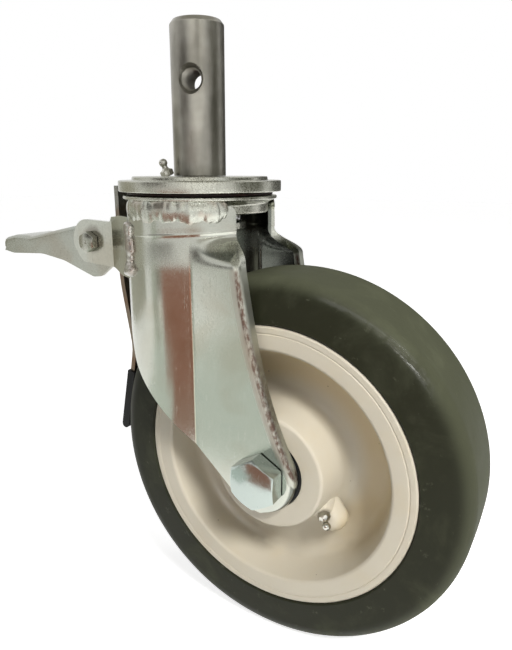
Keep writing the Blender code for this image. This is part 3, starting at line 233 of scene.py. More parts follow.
class Shader(Nodes):
    """One material, with its Principled node and the methods that add to it."""

    def __init__(self, name: str) -> None:
        """Make an empty material.

        Args:
            name: the material's name.
        """
        self.material = bpy.data.materials.new(name)
        self.material.use_nodes = True
        super().__init__(self.material.node_tree)
        self.output = self.node("ShaderNodeOutputMaterial")
        self.surface = self.node("ShaderNodeBsdfPrincipled")
        self.give(self.output.inputs["Surface"], self.surface.outputs[0])
        self._place = None

    @property
    def place(self) -> bpy.types.NodeSocket:
        """Object coordinates, in metres.

        Returns:
            The vector.
        """
        if self._place is None:
            self._place = self.node("ShaderNodeTexCoord").outputs["Object"]
        return self._place

    def mapped(self, centre: tuple = (0.0, 0.0, 0.0), stretch: tuple = (1.0, 1.0, 1.0),
               turn: tuple = (0.0, 0.0, 0.0)) -> bpy.types.NodeSocket:
        """Object coordinates about a centre, turned and stretched.

        Args:
            centre: point that becomes the pattern's origin.
            stretch: factor along each axis.
            turn: rotation about each axis.

        Returns:
            The vector.
        """
        moved = self.node("ShaderNodeVectorMath", {"operation": "SUBTRACT"},
                          {0: self.place, 1: centre})
        node = self.node("ShaderNodeMapping", {}, {"Vector": moved.outputs[0],
                                                   "Scale": stretch, "Rotation": turn})
        return node.outputs[0]

    def parts(self, vector: bpy.types.NodeSocket) -> tuple[Value, Value, Value]:
        """The three components of a vector.

        Args:
            vector: the vector's socket.

        Returns:
            Its X, Y and Z.
        """
        node = self.node("ShaderNodeSeparateXYZ", {}, {0: vector})
        return tuple(Value(self, output) for output in node.outputs)

    def noise(self, scale: float, detail: float = 3.0, rough: float = 0.5,
              vector: bpy.types.NodeSocket | None = None, twist: float = 0.0) -> Value:
        """Cloudy noise.

        Args:
            scale: lumps to the metre.
            detail: how many finer layers it has.
            rough: how strong the finer layers are.
            vector: coordinates, or Object coordinates.
            twist: how far the pattern is distorted.

        Returns:
            A value from 0 to 1.
        """
        node = self.node("ShaderNodeTexNoise", {}, {
            "Vector": vector or self.place, "Scale": scale, "Detail": detail,
            "Roughness": rough, "Distortion": twist})
        return Value(self, node.outputs[0])

    def cells(self, scale: float, vector: bpy.types.NodeSocket | None = None) -> Value:
        """Distance to the nearest of scattered points.

        Args:
            scale: cells to the metre.
            vector: coordinates, or Object coordinates.

        Returns:
            The distance in cells.
        """
        node = self.node("ShaderNodeTexVoronoi", {}, {"Vector": vector or self.place,
                                                      "Scale": scale})
        return Value(self, node.outputs["Distance"])

    def blend(self, first: object, second: object, mask: Value) -> bpy.types.NodeSocket:
        """Mix of two colours.

        Args:
            first: colour where the mask is 0.
            second: colour where the mask is 1.
            mask: share of the second colour.

        Returns:
            The colour.
        """
        first, second = [(*item, 1.0) if isinstance(item, tuple) else item
                         for item in (first, second)]
        node = self.node("ShaderNodeMix", {"data_type": "RGBA"}, {0: mask, 6: first, 7: second})
        return node.outputs[2]

    def feed(self, name: str, given: object) -> None:
        """Set or link one of the Principled node's inputs.

        Args:
            name: the input's name.
            given: a value, a colour socket or a number.
        """
        self.give(self.surface.inputs[name], given)

    def bump(self, height: Value, depth: float) -> None:
        """Feed a height to the Principled node's normal.

        Args:
            height: relief, in units of the depth.
            depth: height in metres that a relief of 1 stands for.
        """
        node = self.node("ShaderNodeBump", {}, {"Height": height, "Distance": depth,
                                                "Strength": 1.0})
        self.feed("Normal", node.outputs[0])


# Finishes

@dataclass(frozen=True)
class PressedLines:
    """Lines of the pressed leg that its finish follows.

    The flange's bend is at x = c0 + c1 z + c2 z^2 + c3 z^3, with the cubic's numbers. Each
    pair is where a change starts and where it ends.
    """

    cubic: tuple
    crease: float
    neck_sheet: tuple = (48.0 * MM, 49.0 * MM)
    flat_sheet: tuple = (44.0 * MM, 45.0 * MM)
    flat_top: tuple = (-141.0 * MM, -137.0 * MM)
    crease_highlight_top: tuple = (-152.0 * MM, -144.0 * MM)
    flange_top: tuple = (-152.0 * MM, -146.0 * MM)
    shoulder_foot: tuple = (-156.0 * MM, -146.0 * MM)
    shoulder_top: tuple = (-138.0 * MM, -132.0 * MM)

    def from_bend(self, x: Value, z: Value) -> Value:
        """Distance along X from the flange's bend.

        Args:
            x: position along X.
            z: height.

        Returns:
            The distance, positive behind the bend.
        """
        c0, c1, c2, c3 = self.cubic
        return x - (c0 + z * (c1 + z * (c2 + z * c3)))

    def inner_face_shade(self, shader: Shader) -> Value:
        """Where the leg's inner face is, which is given painted shade: nearer the middle than half
        its sheet.

        Args:
            shader: the material that it is made in.

        Returns:
            Where the face is, from 0 to 1.
        """
        x, y, z = shader.parts(shader.place)
        neck = 1.0 - (x * x + y * y).root().above(*self.neck_sheet)
        flat = 1.0 - (y * y).root().above(*self.flat_sheet)
        below = (x - self.crease).above(0.0, 1.0 * MM) * (1.0 - z.above(*self.flat_top))
        before_flange = 1.0 - self.from_bend(x, z).above(-4.5 * MM, -3.5 * MM)
        return (neck * (1.0 - below) + flat * below) * before_flange

    def crease_highlight(self, shader: Shader) -> Value:
        """Thin painted highlight along the crease, below the shoulder.

        Args:
            shader: the material that it is made in.

        Returns:
            Where the line is, from 0 to 1.
        """
        x, _, z = shader.parts(shader.place)
        apart = (x - self.crease - 0.35 * MM) ** 2.0
        line = 1.0 - apart.above((0.2 * MM) ** 2, (0.6 * MM) ** 2)
        return line * (1.0 - z.above(*self.crease_highlight_top))

    def worked(self, shader: Shader) -> Value:
        """Extra roughness of the worked metal: over the bend and in the drawn shoulder.

        Args:
            shader: the material that it is made in.

        Returns:
            Roughness to add.
        """
        x, _, z = shader.parts(shader.place)
        bend = (self.from_bend(x, z) + 5.5 * MM).above(0.0, 1.5 * MM)
        bend = bend * (1.0 - z.above(*self.flange_top))
        shoulder = z.above(*self.shoulder_foot) * (1.0 - z.above(*self.shoulder_top))
        return bend * 0.32 + shoulder * 0.10

    def stained(self, shader: Shader) -> Value:
        """Brown stain down the flange's bend, broken up by noise.

        Args:
            shader: the material that it is made in.

        Returns:
            Where the stain is, from 0 to 1.
        """
        x, _, z = shader.parts(shader.place)
        near = 1.0 - (self.from_bend(x, z) ** 2.0).above((0.5 * MM) ** 2, (1.9 * MM) ** 2)
        near = near * (1.0 - z.above(*self.flange_top))
        patchy = shader.noise(520.0, 4.0, 0.65, shader.mapped(stretch=(1.0, 1.0, 0.4)))
        return near * (0.30 + 0.65 * patchy.above(0.36, 0.60))

    def slope(self, shader: Shader, rise: float) -> Value:
        """Height that turns the mirrored room on the flat side behind the crease.

        Args:
            shader: the material that it is made in.
            rise: height gained for each metre behind the crease.

        Returns:
            The height.
        """
        x, _, _ = shader.parts(shader.place)
        return (x - self.crease).at_least(0.0) * rise


@dataclass(frozen=True)
class ZincFinish:
    """Bright zinc plate over pressed steel, with tints, stains, handling marks and, on the legs,
    painted shade and a painted crease highlight.

    The lines are those of the pressed leg, and turned_out is the slope by which its flat
    side mirrors another part of the room. The colour darkens round a given (x, z) place and
    the darkening fades between the two reaches. The rough edge roughens a forging.
    """

    name: str
    bright: tuple = (0.48, 0.49, 0.43)
    warm: tuple = (0.40, 0.36, 0.28)
    cool: tuple = (0.38, 0.43, 0.41)
    stain: tuple = (0.13, 0.10, 0.08)
    # Colour of the painted shade on the legs' inner faces
    painted_inner_shade: tuple = (0.09, 0.10, 0.085)
    # Colour of the painted highlight along the crease
    crease_highlight: tuple = (0.78, 0.74, 0.62)
    smooth: float = 0.15
    dull: float = 0.24
    warmth: float = 0.55
    relief: float = 0.03 * MM
    lines: PressedLines | None = None
    turned_out: float = 0.14
    rough_edge: float = 0.0
    dark_centre: tuple = ()
    dark_reach: tuple = (9.0 * MM, 14.0 * MM)

    def colour(self, shader: Shader, broad: Value, cloudy: Value) -> bpy.types.NodeSocket:
        """Tints, streaks and stains of the plate.

        Args:
            shader: the material that it is made in.
            broad: slow noise.
            cloudy: quicker noise.

        Returns:
            The colour.
        """
        streaks = shader.noise(60.0, 4.0, 0.65, shader.mapped(stretch=(6.0, 6.0, 0.5)))
        layers = [(self.warm, broad.above(0.52, 0.74) * self.warmth),
                  (self.cool, (1.0 - broad).above(0.56, 0.76) * 0.5),
                  (self.stain, cloudy.above(0.70, 0.82) * 0.4),
                  (self.bright, streaks.above(0.58, 0.72) * 0.25)]
        if self.lines:
            layers += [(self.stain, self.lines.stained(shader)),
                       # Painted shade on the legs' inner faces, which lie in the fork's shade
                       (self.painted_inner_shade, self.lines.inner_face_shade(shader) * 0.8),
                       # Painted highlight along the crease
                       (self.crease_highlight, self.lines.crease_highlight(shader) * 0.7)]
        # The colour is darker round a given place, fading out between two reaches
        if self.dark_centre:
            x, _, z = shader.parts(shader.place)
            apart = ((x - self.dark_centre[0]) ** 2.0 + (z - self.dark_centre[1]) ** 2.0).root()
            darkening = 1.0 - (apart + cloudy * 4.0 * MM).above(*self.dark_reach)
            layers.append((self.stain, darkening * 0.55))
        colour = self.bright
        for tint, mask in layers:
            colour = shader.blend(colour, tint, mask)
        return colour

    def material(self) -> bpy.types.Material:
        """Build the finish.

        Returns:
            The material.
        """
        shader = Shader(self.name)
        broad = shader.noise(22.0, 2.0, 0.5, twist=0.6)
        cloudy = shader.noise(90.0, 4.0, 0.6)
        fine = shader.noise(900.0, 3.0, 0.6)
        scratch = shader.noise(150.0, 2.0, 0.5, shader.mapped(
            stretch=(14.0, 14.0, 0.7), turn=(0.3, 0.5, 0.2)))
        marks = scratch.above(0.66, 0.70)
        speck = shader.noise(420.0, 2.0, 0.5).above(0.70, 0.76) * broad.above(0.35, 0.6)
        rough = self.smooth + (self.dull - self.smooth) * fine.above(0.3, 0.75) + marks * 0.06
        height = cloudy * 0.45 + fine * 0.35 - marks * 0.25 - speck * 0.6
        if self.lines:
            rough = rough + self.lines.worked(shader)
            height = height + self.lines.slope(shader, self.turned_out / self.relief)
        if self.rough_edge:
            torn = shader.noise(420.0, 3.0, 0.6, shader.mapped(stretch=(1.0, 1.0, 0.25)))
            height = height + torn * self.rough_edge
        shader.feed("Base Color", self.colour(shader, broad, cloudy))
        shader.feed("Metallic", 1.0)
        shader.feed("Roughness", rough)
        shader.bump(height, self.relief)
        return shader.material


@dataclass(frozen=True)
class TurnedFinish:
    """Bare or plated bar with the fine rings that turning leaves."""

    name: str
    dark: tuple = (0.23, 0.22, 0.19)
    light: tuple = (0.39, 0.375, 0.33)
    stain: tuple = (0.15, 0.135, 0.11)
    rings: float = 2600.0
    roughness: float = 0.30

    def material(self) -> bpy.types.Material:
        """Build the finish.

        Returns:
            The material.
        """
        shader = Shader(self.name)
        lathe = shader.noise(self.rings, 2.0, 0.6, shader.mapped(stretch=(0.004, 0.004, 1.0)))
        grain = shader.noise(220.0, 4.0, 0.62, shader.mapped(stretch=(1.0, 1.0, 0.25)))
        cloud = shader.noise(34.0, 3.0, 0.55)
        colour = shader.blend(self.dark, self.light, cloud.above(0.3, 0.72))
        colour = shader.blend(colour, self.stain, grain.above(0.60, 0.78) * 0.5)
        shader.feed("Base Color", colour)
        shader.feed("Metallic", 1.0)
        shader.feed("Roughness", self.roughness + grain.above(0.3, 0.8) * 0.16)
        shader.bump(lathe * 0.4 + grain * 0.3 + shader.noise(900.0, 3.0, 0.6) * 0.6, 0.05 * MM)
        return shader.material


@dataclass(frozen=True)
class CreamFinish:
    """Cream paint on the cast core, faintly pebbled and specked with soil, with painted shade in the
    dish's upper rear.
    """

    name: str
    paint: tuple = (0.60, 0.545, 0.435)
    shade: tuple = (0.60, 0.48, 0.28)
    soil: tuple = (0.20, 0.15, 0.10)
    roughness: float = 0.36

    hollow_from: tuple = (49.0 * MM, 62.0 * MM)
    hollow_to: tuple = (72.0 * MM, 80.0 * MM)
    hollow_side: tuple = (-50.0 * MM, 30.0 * MM)

    def material(self) -> bpy.types.Material:
        """Build the finish.

        Returns:
            The material.
        """
        shader = Shader(self.name)
        x, _, z = shader.parts(shader.mapped(centre=tuple(PLACE.axle)))
        reach = (x * x + z * z).root()
        shaded_hollow = reach.above(*self.hollow_from) * (1.0 - reach.above(*self.hollow_to))
        shaded_hollow = shaded_hollow * (x + z).above(*self.hollow_side)
        cloud = shader.noise(45.0, 4.0, 0.6)
        pebble = shader.noise(700.0, 3.0, 0.55)
        specks = 1.0 - shader.cells(160.0).above(0.05, 0.10)
        sparse = shader.noise(60.0, 1.0).above(0.60, 0.66)
        # Painted shade: between hub and rim, on the upper, rear side, the dish is blended to the
        # shade colour; noise adds some of it at random too
        colour = shader.blend(self.paint, self.shade,
                              shaded_hollow * 0.75 + cloud.above(0.45, 0.8) * 0.2)
        colour = shader.blend(colour, self.soil, specks * sparse * 0.7)
        shader.feed("Base Color", colour)
        shader.feed("Roughness", self.roughness + cloud.above(0.4, 0.7) * 0.14)
        shader.feed("Specular IOR Level", 0.45)
        shader.bump(pebble * 0.4 + cloud * 0.6, 0.10 * MM)
        return shader.material


@dataclass(frozen=True)
class TyreFinish:
    """Dark grey-green solid rubber, paler on the tread from scuffs and painted sheen, and smooth on
    the side.

    Each pair is where a change starts and where it ends. The polished band lies on the
    shoulder, in the part of it that is high and to the rear.
    """

    name: str
    rubber: tuple = (0.020, 0.021, 0.011)
    # Tread colour: scuffed rubber, made paler also as painted sheen
    scuffed_and_sheen: tuple = (0.095, 0.100, 0.062)
    dust: tuple = (0.17, 0.17, 0.12)
    tread_from: tuple = (117.0 * MM, 125.5 * MM)
    polished_from: tuple = (118.5 * MM, 120.0 * MM)
    polished_to: tuple = (122.5 * MM, 124.5 * MM)
    polished_above: tuple = (64.0 * MM, 82.0 * MM)
    polished_behind: tuple = (20.0 * MM, 40.0 * MM)

    def material(self) -> bpy.types.Material:
        """Build the finish.

        Returns:
            The material.
        """
        shader = Shader(self.name)
        x, _, z = shader.parts(shader.mapped(centre=tuple(PLACE.axle)))
        reach = (x * x + z * z).root()
        tread = reach.above(*self.tread_from)
        polished = reach.above(*self.polished_from) * (1.0 - reach.above(*self.polished_to))
        polished = polished * z.above(*self.polished_above) * x.above(*self.polished_behind)
        cloud = shader.noise(28.0, 5.0, 0.62, twist=0.5)
        grain = shader.noise(650.0, 3.0, 0.6)
        scuff = shader.noise(120.0, 4.0, 0.7, shader.mapped(stretch=(1.0, 5.0, 1.0)))
        torn = shader.noise(260.0, 4.0, 0.6, shader.mapped(stretch=(1.0, 0.5, 1.0)))
        lathe = shader.noise(900.0, 2.0, 0.5, shader.mapped(stretch=(0.02, 1.0, 0.02)))
        # The tread's paler colour is partly scuffing and partly painted sheen for the light it
        # reflects
        colour = shader.blend(self.rubber, self.scuffed_and_sheen,
                              tread * 0.55 + cloud.above(0.45, 0.8) * 0.35)
        colour = shader.blend(colour, self.dust, scuff.above(0.62, 0.78) * 0.35)
        rough = 0.36 + cloud.above(0.3, 0.75) * 0.16 + scuff * 0.08 + tread * 0.2
        shader.feed("Base Color", colour)
        shader.feed("Roughness", rough)
        shader.feed("Coat Weight", polished * torn.above(0.36, 0.50))
        shader.feed("Coat Roughness", 0.14)
        shader.feed("Specular IOR Level", 0.12)
        shader.bump(grain * 0.3 + cloud * 0.7 + lathe * tread * 0.4, 0.16 * MM)
        return shader.material


@dataclass(frozen=True)
class RubberFinish:
    """Plain moulded rubber or felt, with dust caught in a fine grain."""

    name: str
    body: tuple = (0.0075, 0.008, 0.008)
    dust: tuple = (0.028, 0.029, 0.028)
    roughness: float = 0.46

    def material(self) -> bpy.types.Material:
        """Build the finish.

        Returns:
            The material.
        """
        shader = Shader(self.name)
        grain = shader.noise(800.0, 4.0, 0.6)
        cloud = shader.noise(120.0, 3.0, 0.6)
        shader.feed("Base Color", shader.blend(self.body, self.dust,
                                               cloud.above(0.5, 0.8) * 0.6))
        shader.feed("Roughness", self.roughness + grain * 0.15)
        shader.feed("Specular IOR Level", 0.22)
        shader.bump(grain * 0.5 + cloud * 0.5, 0.12 * MM)
        return shader.material


@dataclass(frozen=True)
class WeldFinish:
    """Weld metal: bright crests, brown heat tint and dark slag in its furrows."""

    name: str
    crest: tuple = (0.46, 0.45, 0.41)
    tint: tuple = (0.29, 0.21, 0.17)
    slag: tuple = (0.07, 0.05, 0.045)
    tinted: float = 0.45
    smooth: float = 0.18
    relief: float = 0.4 * MM

    def material(self) -> bpy.types.Material:
        """Build the finish.

        Returns:
            The material.
        """
        shader = Shader(self.name)
        lumps = shader.noise(260.0, 4.0, 0.62, twist=0.8)
        broad = shader.noise(95.0, 2.0, 0.5)
        pits = 1.0 - shader.cells(520.0).above(0.10, 0.24)
        colour = shader.blend(self.crest, self.tint, broad.above(0.42, 0.62) * self.tinted)
        colour = shader.blend(colour, self.slag, lumps.above(0.60, 0.74) * 0.8)
        shader.feed("Base Color", colour)
        shader.feed("Metallic", 0.9)
        shader.feed("Roughness", self.smooth + lumps * 0.22)
        shader.bump(lumps * 0.8 - pits * 0.3, self.relief)
        return shader.material


# Meshes from grids of points

@dataclass
class Surface:
    """A grid of points and how its borders close."""

    points: np.ndarray
    around: bool = True
    endless: bool = False

    def quads(self) -> np.ndarray:
        """Four point numbers for each cell of the grid.

        Returns:
            An array of faces.
        """
        rows, columns = self.points.shape[:2]
        row = np.arange(rows if self.endless else rows - 1)
        column = np.arange(columns if self.around else columns - 1)
        here, across = np.meshgrid(row, column, indexing="ij")
        down, turn = (here + 1) % rows, (across + 1) % columns
        corners = [here * columns + across, here * columns + turn,
                   down * columns + turn, down * columns + across]
        return np.stack(corners, axis=-1).reshape(-1, 4)

    def caps(self) -> list[np.ndarray]:
        """One face for each open end of a closed-round grid.

        Returns:
            The end faces.
        """
        if self.endless or not self.around:
            return []
        rows, columns = self.points.shape[:2]
        return [np.arange(columns)[::-1], (rows - 1) * columns + np.arange(columns)]


def make_mesh(name: str, points: np.ndarray, faces: list[np.ndarray],
              smooth: float = 35.0) -> bpy.types.Mesh:
    """Put arrays of points and faces into one closed mesh that faces outwards.

    Args:
        name: the mesh's name.
        points: one row of three numbers for each point.
        faces: arrays of faces; a 1-D array is one face of many corners.
        smooth: angle in degrees past which an edge is sharp.

    Returns:
        The mesh.
    """
    blocks = [block.reshape(1, -1) if block.ndim == 1 else block for block in faces]
    corners = np.concatenate([block.ravel() for block in blocks]).astype(np.int32)
    totals = np.concatenate([np.full(len(block), block.shape[1]) for block in blocks])
    starts = np.concatenate([[0], np.cumsum(totals)[:-1]])
    mesh = bpy.data.meshes.new(name)
    mesh.vertices.add(len(points))
    mesh.vertices.foreach_set("co", np.ascontiguousarray(points, dtype=np.float32).ravel())
    mesh.loops.add(len(corners))
    mesh.loops.foreach_set("vertex_index", corners)
    mesh.polygons.add(len(totals))
    mesh.polygons.foreach_set("loop_start", starts.astype(np.int32))
    mesh.polygons.foreach_set("loop_total", totals.astype(np.int32))
    mesh.update(calc_edges=True)
    tidy(mesh, smooth)
    return mesh


def tidy(mesh: bpy.types.Mesh, smooth: float) -> None:
    """Merge doubles, turn the faces outwards and mark the sharp edges.

    Args:
        mesh: the mesh to change.
        smooth: angle in degrees past which an edge is sharp.
    """
    work = bmesh.new()
    work.from_mesh(mesh)
    bmesh.ops.remove_doubles(work, verts=work.verts, dist=2e-6)
    bmesh.ops.dissolve_degenerate(work, edges=work.edges, dist=1e-6)
    bmesh.ops.recalc_face_normals(work, faces=work.faces)
    work.to_mesh(mesh)
    work.free()
    mesh.shade_smooth()
    mesh.set_sharp_from_angle(angle=math.radians(smooth))


def surface_mesh(name: str, surface: Surface, smooth: float = 35.0) -> bpy.types.Mesh:
    """Close a surface's ends and make it a mesh.

    Args:
        name: the mesh's name.
        surface: grid of points.
        smooth: angle in degrees past which an edge is sharp.

    Returns:
        The mesh.
    """
    return make_mesh(name, surface.points.reshape(-1, 3),
                     [surface.quads(), *surface.caps()], smooth)


def sheet_mesh(name: str, outer: np.ndarray, inner: np.ndarray,
               smooth: float = 35.0) -> bpy.types.Mesh:
    """Close the space between a pressed sheet's two faces.

    The rim runs once round the grid's border, joining each outer point to its inner one.

    Args:
        name: the mesh's name.
        outer: grid of points on one face.
        inner: the same grid on the other face.
        smooth: angle in degrees past which an edge is sharp.

    Returns:
        The mesh.
    """
    rows, columns = outer.shape[:2]
    quads = Surface(outer, around=False).quads()
    count = rows * columns
    number = np.arange(count).reshape(rows, columns)
    rim = np.concatenate([number[0, :-1], number[:-1, -1], number[-1, :0:-1],
                          number[:0:-1, 0]])
    after = np.roll(rim, -1)
    wall = np.stack([after, rim, rim + count, after + count], axis=1)
    points = np.concatenate([outer.reshape(-1, 3), inner.reshape(-1, 3)])
    return make_mesh(name, points, [quads, quads[:, ::-1] + count, wall], smooth)


def softened(corners: list[tuple], steps: int = 5, closed: bool = True) -> np.ndarray:
    """Outline through (a, b, radius) corners, with an arc at each one that has a radius.

    Each arc's middle lies on the corner's bisector, radius / sin(half angle) away.

    Args:
        corners: the corners, in order.
        steps: pieces in each arc.
        closed: whether the last corner joins the first.

    Returns:
        The outline's points.
    """
    spots = np.array([corner[:2] for corner in corners], dtype=float)
    outline = []
    for index, (_, _, radius) in enumerate(corners):
        here = spots[index]
        if radius == 0.0 or (not closed and index in (0, len(corners) - 1)):
            outline.append(here[None])
            continue
        before = spots[index - 1] - here
        after = spots[(index + 1) % len(corners)] - here
        before, after = before / np.linalg.norm(before), after / np.linalg.norm(after)
        half = math.acos(float(np.clip(before @ after, -1.0, 1.0))) / 2.0
        middle = here + (before + after) / np.linalg.norm(before + after) * radius / math.sin(half)
        first = here + before * radius / math.tan(half) - middle
        last = here + after * radius / math.tan(half) - middle
        share = np.linspace(0.0, 1.0, steps + 1)[:, None]
        sweep = math.acos(float(np.clip(first @ last / radius ** 2, -1.0, 1.0)))
        arc = (np.sin((1.0 - share) * sweep) * first + np.sin(share * sweep) * last)
        outline.append(middle + arc / math.sin(sweep))
    return np.concatenate(outline)


def joined(x: np.ndarray, y: np.ndarray, z: np.ndarray) -> np.ndarray:
    """Points from their three coordinates, broadcast to one shape."""
    return np.stack(np.broadcast_arrays(x, y, z), axis=-1)


def turned(profile: np.ndarray, segments: int = 128, endless: bool = True) -> Surface:
    """Turn a (radius, height) outline about Z: (r cos t, r sin t, h).

    Args:
        profile: the outline's points.
        segments: steps round the turn.
        endless: whether the outline is closed.

    Returns:
        The surface.
    """
    turn = np.arange(segments) * FULL_TURN / segments
    radius, height = profile[:, 0, None], profile[:, 1, None]
    points = joined(radius * np.cos(turn), radius * np.sin(turn), height)
    return Surface(points, endless=endless)


def set_in(surface: Surface, where: np.ndarray, facing: Facing | np.ndarray) -> Surface:
    """Turn a surface's own axes to a facing, then move it to its place.

    Args:
        surface: surface about its own Z.
        where: place of its own origin.
        facing: a named facing, or three rows for its own X, Y and Z.

    Returns:
        The same surface in place.
    """
    rows = np.array(facing.value if isinstance(facing, Facing) else facing, dtype=float)
    surface.points = surface.points @ rows + np.asarray(where)
    return surface


def facing_along(axis: np.ndarray) -> np.ndarray:
    """Three rows for a piece whose own Z points along an axis.

    Args:
        axis: direction of its own Z.

    Returns:
        Rows for its own X, Y and Z.
    """
    upward = np.asarray(axis, dtype=float) / np.linalg.norm(axis)
    across = np.cross([0.0, 1.0, 0.0], upward)
    across /= np.linalg.norm(across)
    return np.stack([across, np.cross(upward, across), upward])


def cut(mesh: bpy.types.Mesh, tools: list[bpy.types.Mesh], smooth: float = 35.0) -> bpy.types.Mesh:
    """Cut tools out of a mesh with exact Booleans, applied.

    Args:
        mesh: the mesh to cut.
        tools: closed meshes to take away.
        smooth: angle in degrees past which an edge is sharp.

    Returns:
        The cut mesh.
    """
    body = bpy.data.objects.new(mesh.name + "_blank", mesh)
    bpy.context.scene.collection.objects.link(body)
    cutters = []
    for tool in tools:
        cutter = bpy.data.objects.new(tool.name, tool)
        bpy.context.scene.collection.objects.link(cutter)
        cutters.append(cutter)
        change = body.modifiers.new(tool.name, "BOOLEAN")
        change.operation = "DIFFERENCE"
        change.solver = "EXACT"
        change.object = cutter
    ready = body.evaluated_get(bpy.context.evaluated_depsgraph_get())
    result = bpy.data.meshes.new_from_object(ready)
    result.name = mesh.name
    for item in [body, *cutters]:
        bpy.data.objects.remove(item, do_unlink=True)
    tidy(result, smooth)
    return result


def outward(azimuth: np.ndarray) -> np.ndarray:
    """Level unit vectors (sin a, -cos a, 0): a is 0 on the near side and grows to the rear.

    Args:
        azimuth: the angles a.

    Returns:
        The vectors.
    """
    return joined(np.sin(azimuth), -np.cos(azimuth), 0.0)


def mirror(side: Side) -> np.ndarray:
    """Factor on each axis that takes a near piece to a side."""
    return np.array([1.0, -side.value, 1.0])


def crossbar(name: str, radius: float, middle: np.ndarray, half: float,
             segments: int = 48) -> bpy.types.Mesh:
    """Round bar across the castor, to cut a straight hole with.

    Args:
        name: the mesh's name.
        radius: the hole's radius.
        middle: the bar's middle.
        half: half the bar's length.
        segments: steps round the bar.

    Returns:
        The bar.
    """
    line = np.array([(radius, -half), (radius, half)])
    return surface_mesh(name, set_in(turned(line, segments, endless=False), middle,
                                     Facing.FAR_SIDE))


@dataclass
class Assembly:
    """A group of pieces that ride on the solids' bodies, with the castor's materials."""

    finishes: "Finishes"

    def add(self, mesh: bpy.types.Mesh, body: str, slot: str, finish: bpy.types.Material,
            *nodes: str, edge: float = 0.0) -> None:
        """Put a piece in the scene.

        Args:
            mesh: the piece's mesh, in place.
            body: body that it rides on.
            slot: the record's material slot; not used.
            finish: its material.
            nodes: solids that it stands for.
            edge: width that its sharp edges are rounded by.
        """
        piece = bpy.data.objects.new(mesh.name, mesh)
        bpy.context.scene.collection.objects.link(piece)
        mesh.materials.clear()
        mesh.materials.append(finish)
        if edge:
            self.round_edges(piece, edge)
        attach(piece, body)
        if nodes:
            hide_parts(*nodes)
        LOG.info("%s: %d faces on %s", piece.name, len(mesh.polygons), body)

    def round_edges(self, piece: bpy.types.Object, width: float, steps: int = 3) -> None:
        """Round a piece's sharp edges.

        Args:
            piece: the piece.
            width: how wide the rounding is.
            steps: pieces in the rounding.
        """
        bevel = piece.modifiers.new("rounded_edges", "BEVEL")
        bevel.width = width
        bevel.segments = steps
        bevel.limit_method = "ANGLE"
        bevel.angle_limit = math.radians(40.0)
        bevel.harden_normals = False

    def dress(self, finish: bpy.types.Material, *nodes: str) -> None:
        """Give solids that stay as they are a better material.

        Args:
            finish: the material.
            nodes: names of the solids.
        """
        for name in nodes:
            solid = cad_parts[name]
            for slot in solid.material_slots:
                slot.material = finish
            LOG.info("%s: dressed", name)


@dataclass
class Finishes:
    """Every material of the castor, made once."""

    leaf: bpy.types.Material = field(default_factory=ZincFinish(
        "zinc_leaf", bright=(0.22, 0.18, 0.14), warm=(0.17, 0.10, 0.06),
        stain=(0.08, 0.05, 0.035), warmth=0.8, smooth=0.3, dull=0.5).material)
    # Darker copy of the zinc: painted shade for the lever between the cheeks, also on the pivot bolt
    lever: bpy.types.Material = field(default_factory=ZincFinish(
        "zinc_lever", bright=(0.40, 0.41, 0.36), warm=(0.34, 0.31, 0.25), smooth=0.2,
        dull=0.32).material)
    # The cheek's zinc is darker in a ring round the pivot bolt's head
    cheek: bpy.types.Material = field(default_factory=ZincFinish(
        "zinc_cheek", dark_centre=(PLACE.pivot_x + 2.0 * MM, PLACE.pivot_z + 1.5 * MM)).material)
    plate: bpy.types.Material = field(default_factory=ZincFinish(
        "zinc_forging", bright=(0.46, 0.46, 0.40), stain=(0.16, 0.14, 0.11), warmth=0.4,
        smooth=0.22, dull=0.4, relief=0.12 * MM, rough_edge=0.5).material)
    bolts: bpy.types.Material = field(default_factory=ZincFinish(
        "zinc_fastener", bright=(0.40, 0.45, 0.42), warm=(0.34, 0.35, 0.31), warmth=0.3,
        smooth=0.16, dull=0.26).material)
    stem: bpy.types.Material = field(default_factory=TurnedFinish("turned_bar").material)
    hard: bpy.types.Material = field(default_factory=TurnedFinish(
        "ground_steel", dark=(0.30, 0.30, 0.30), light=(0.42, 0.42, 0.42),
        roughness=0.18).material)
    nipple: bpy.types.Material = field(default_factory=TurnedFinish(
        "nipple_steel", dark=(0.34, 0.33, 0.29), light=(0.60, 0.59, 0.53),
        roughness=0.14).material)
    cream: bpy.types.Material = field(default_factory=CreamFinish("cream_paint").material)
    tyre: bpy.types.Material = field(default_factory=TyreFinish("tyre_rubber").material)
    rubber: bpy.types.Material = field(default_factory=RubberFinish("black_rubber").material)
    seal: bpy.types.Material = field(default_factory=RubberFinish(
        "greasy_seal", body=(0.020, 0.009, 0.008), dust=(0.07, 0.03, 0.02),
        roughness=0.4).material)
    weld: bpy.types.Material = field(default_factory=WeldFinish("weld_metal").material)
    pale_weld: bpy.types.Material = field(default_factory=WeldFinish(
        "plated_weld", crest=(0.47, 0.48, 0.42), tint=(0.36, 0.29, 0.23),
        slag=(0.16, 0.13, 0.11), tinted=0.5, smooth=0.15, relief=0.09 * MM).material)


# Hardware

def hexagon_reach(flats: float, turn: np.ndarray) -> np.ndarray:
    """Distance to a hexagon's side at each angle: (flats / 2) / cos(angle to the flat).

    Args:
        flats: size across flats.
        turn: angles.

    Returns:
        The distances.
    """
    within = (turn + math.pi / 6.0) % (math.pi / 3.0) - math.pi / 6.0
    return flats / 2.0 / np.cos(within)


def ringed(rings: list[tuple], turn: np.ndarray, endless: bool = False) -> Surface:
    """Rings (r cos t, r sin t, h), where r and h are numbers or differ with the angle.

    Args:
        rings: pairs of radius and height.
        turn: the angles t.
        endless: whether the last ring joins the first.

    Returns:
        The surface about its own Z.
    """
    points = np.stack([joined(reach * np.cos(turn), reach * np.sin(turn), level)
                       for reach, level in rings])
    return Surface(points, endless=endless)


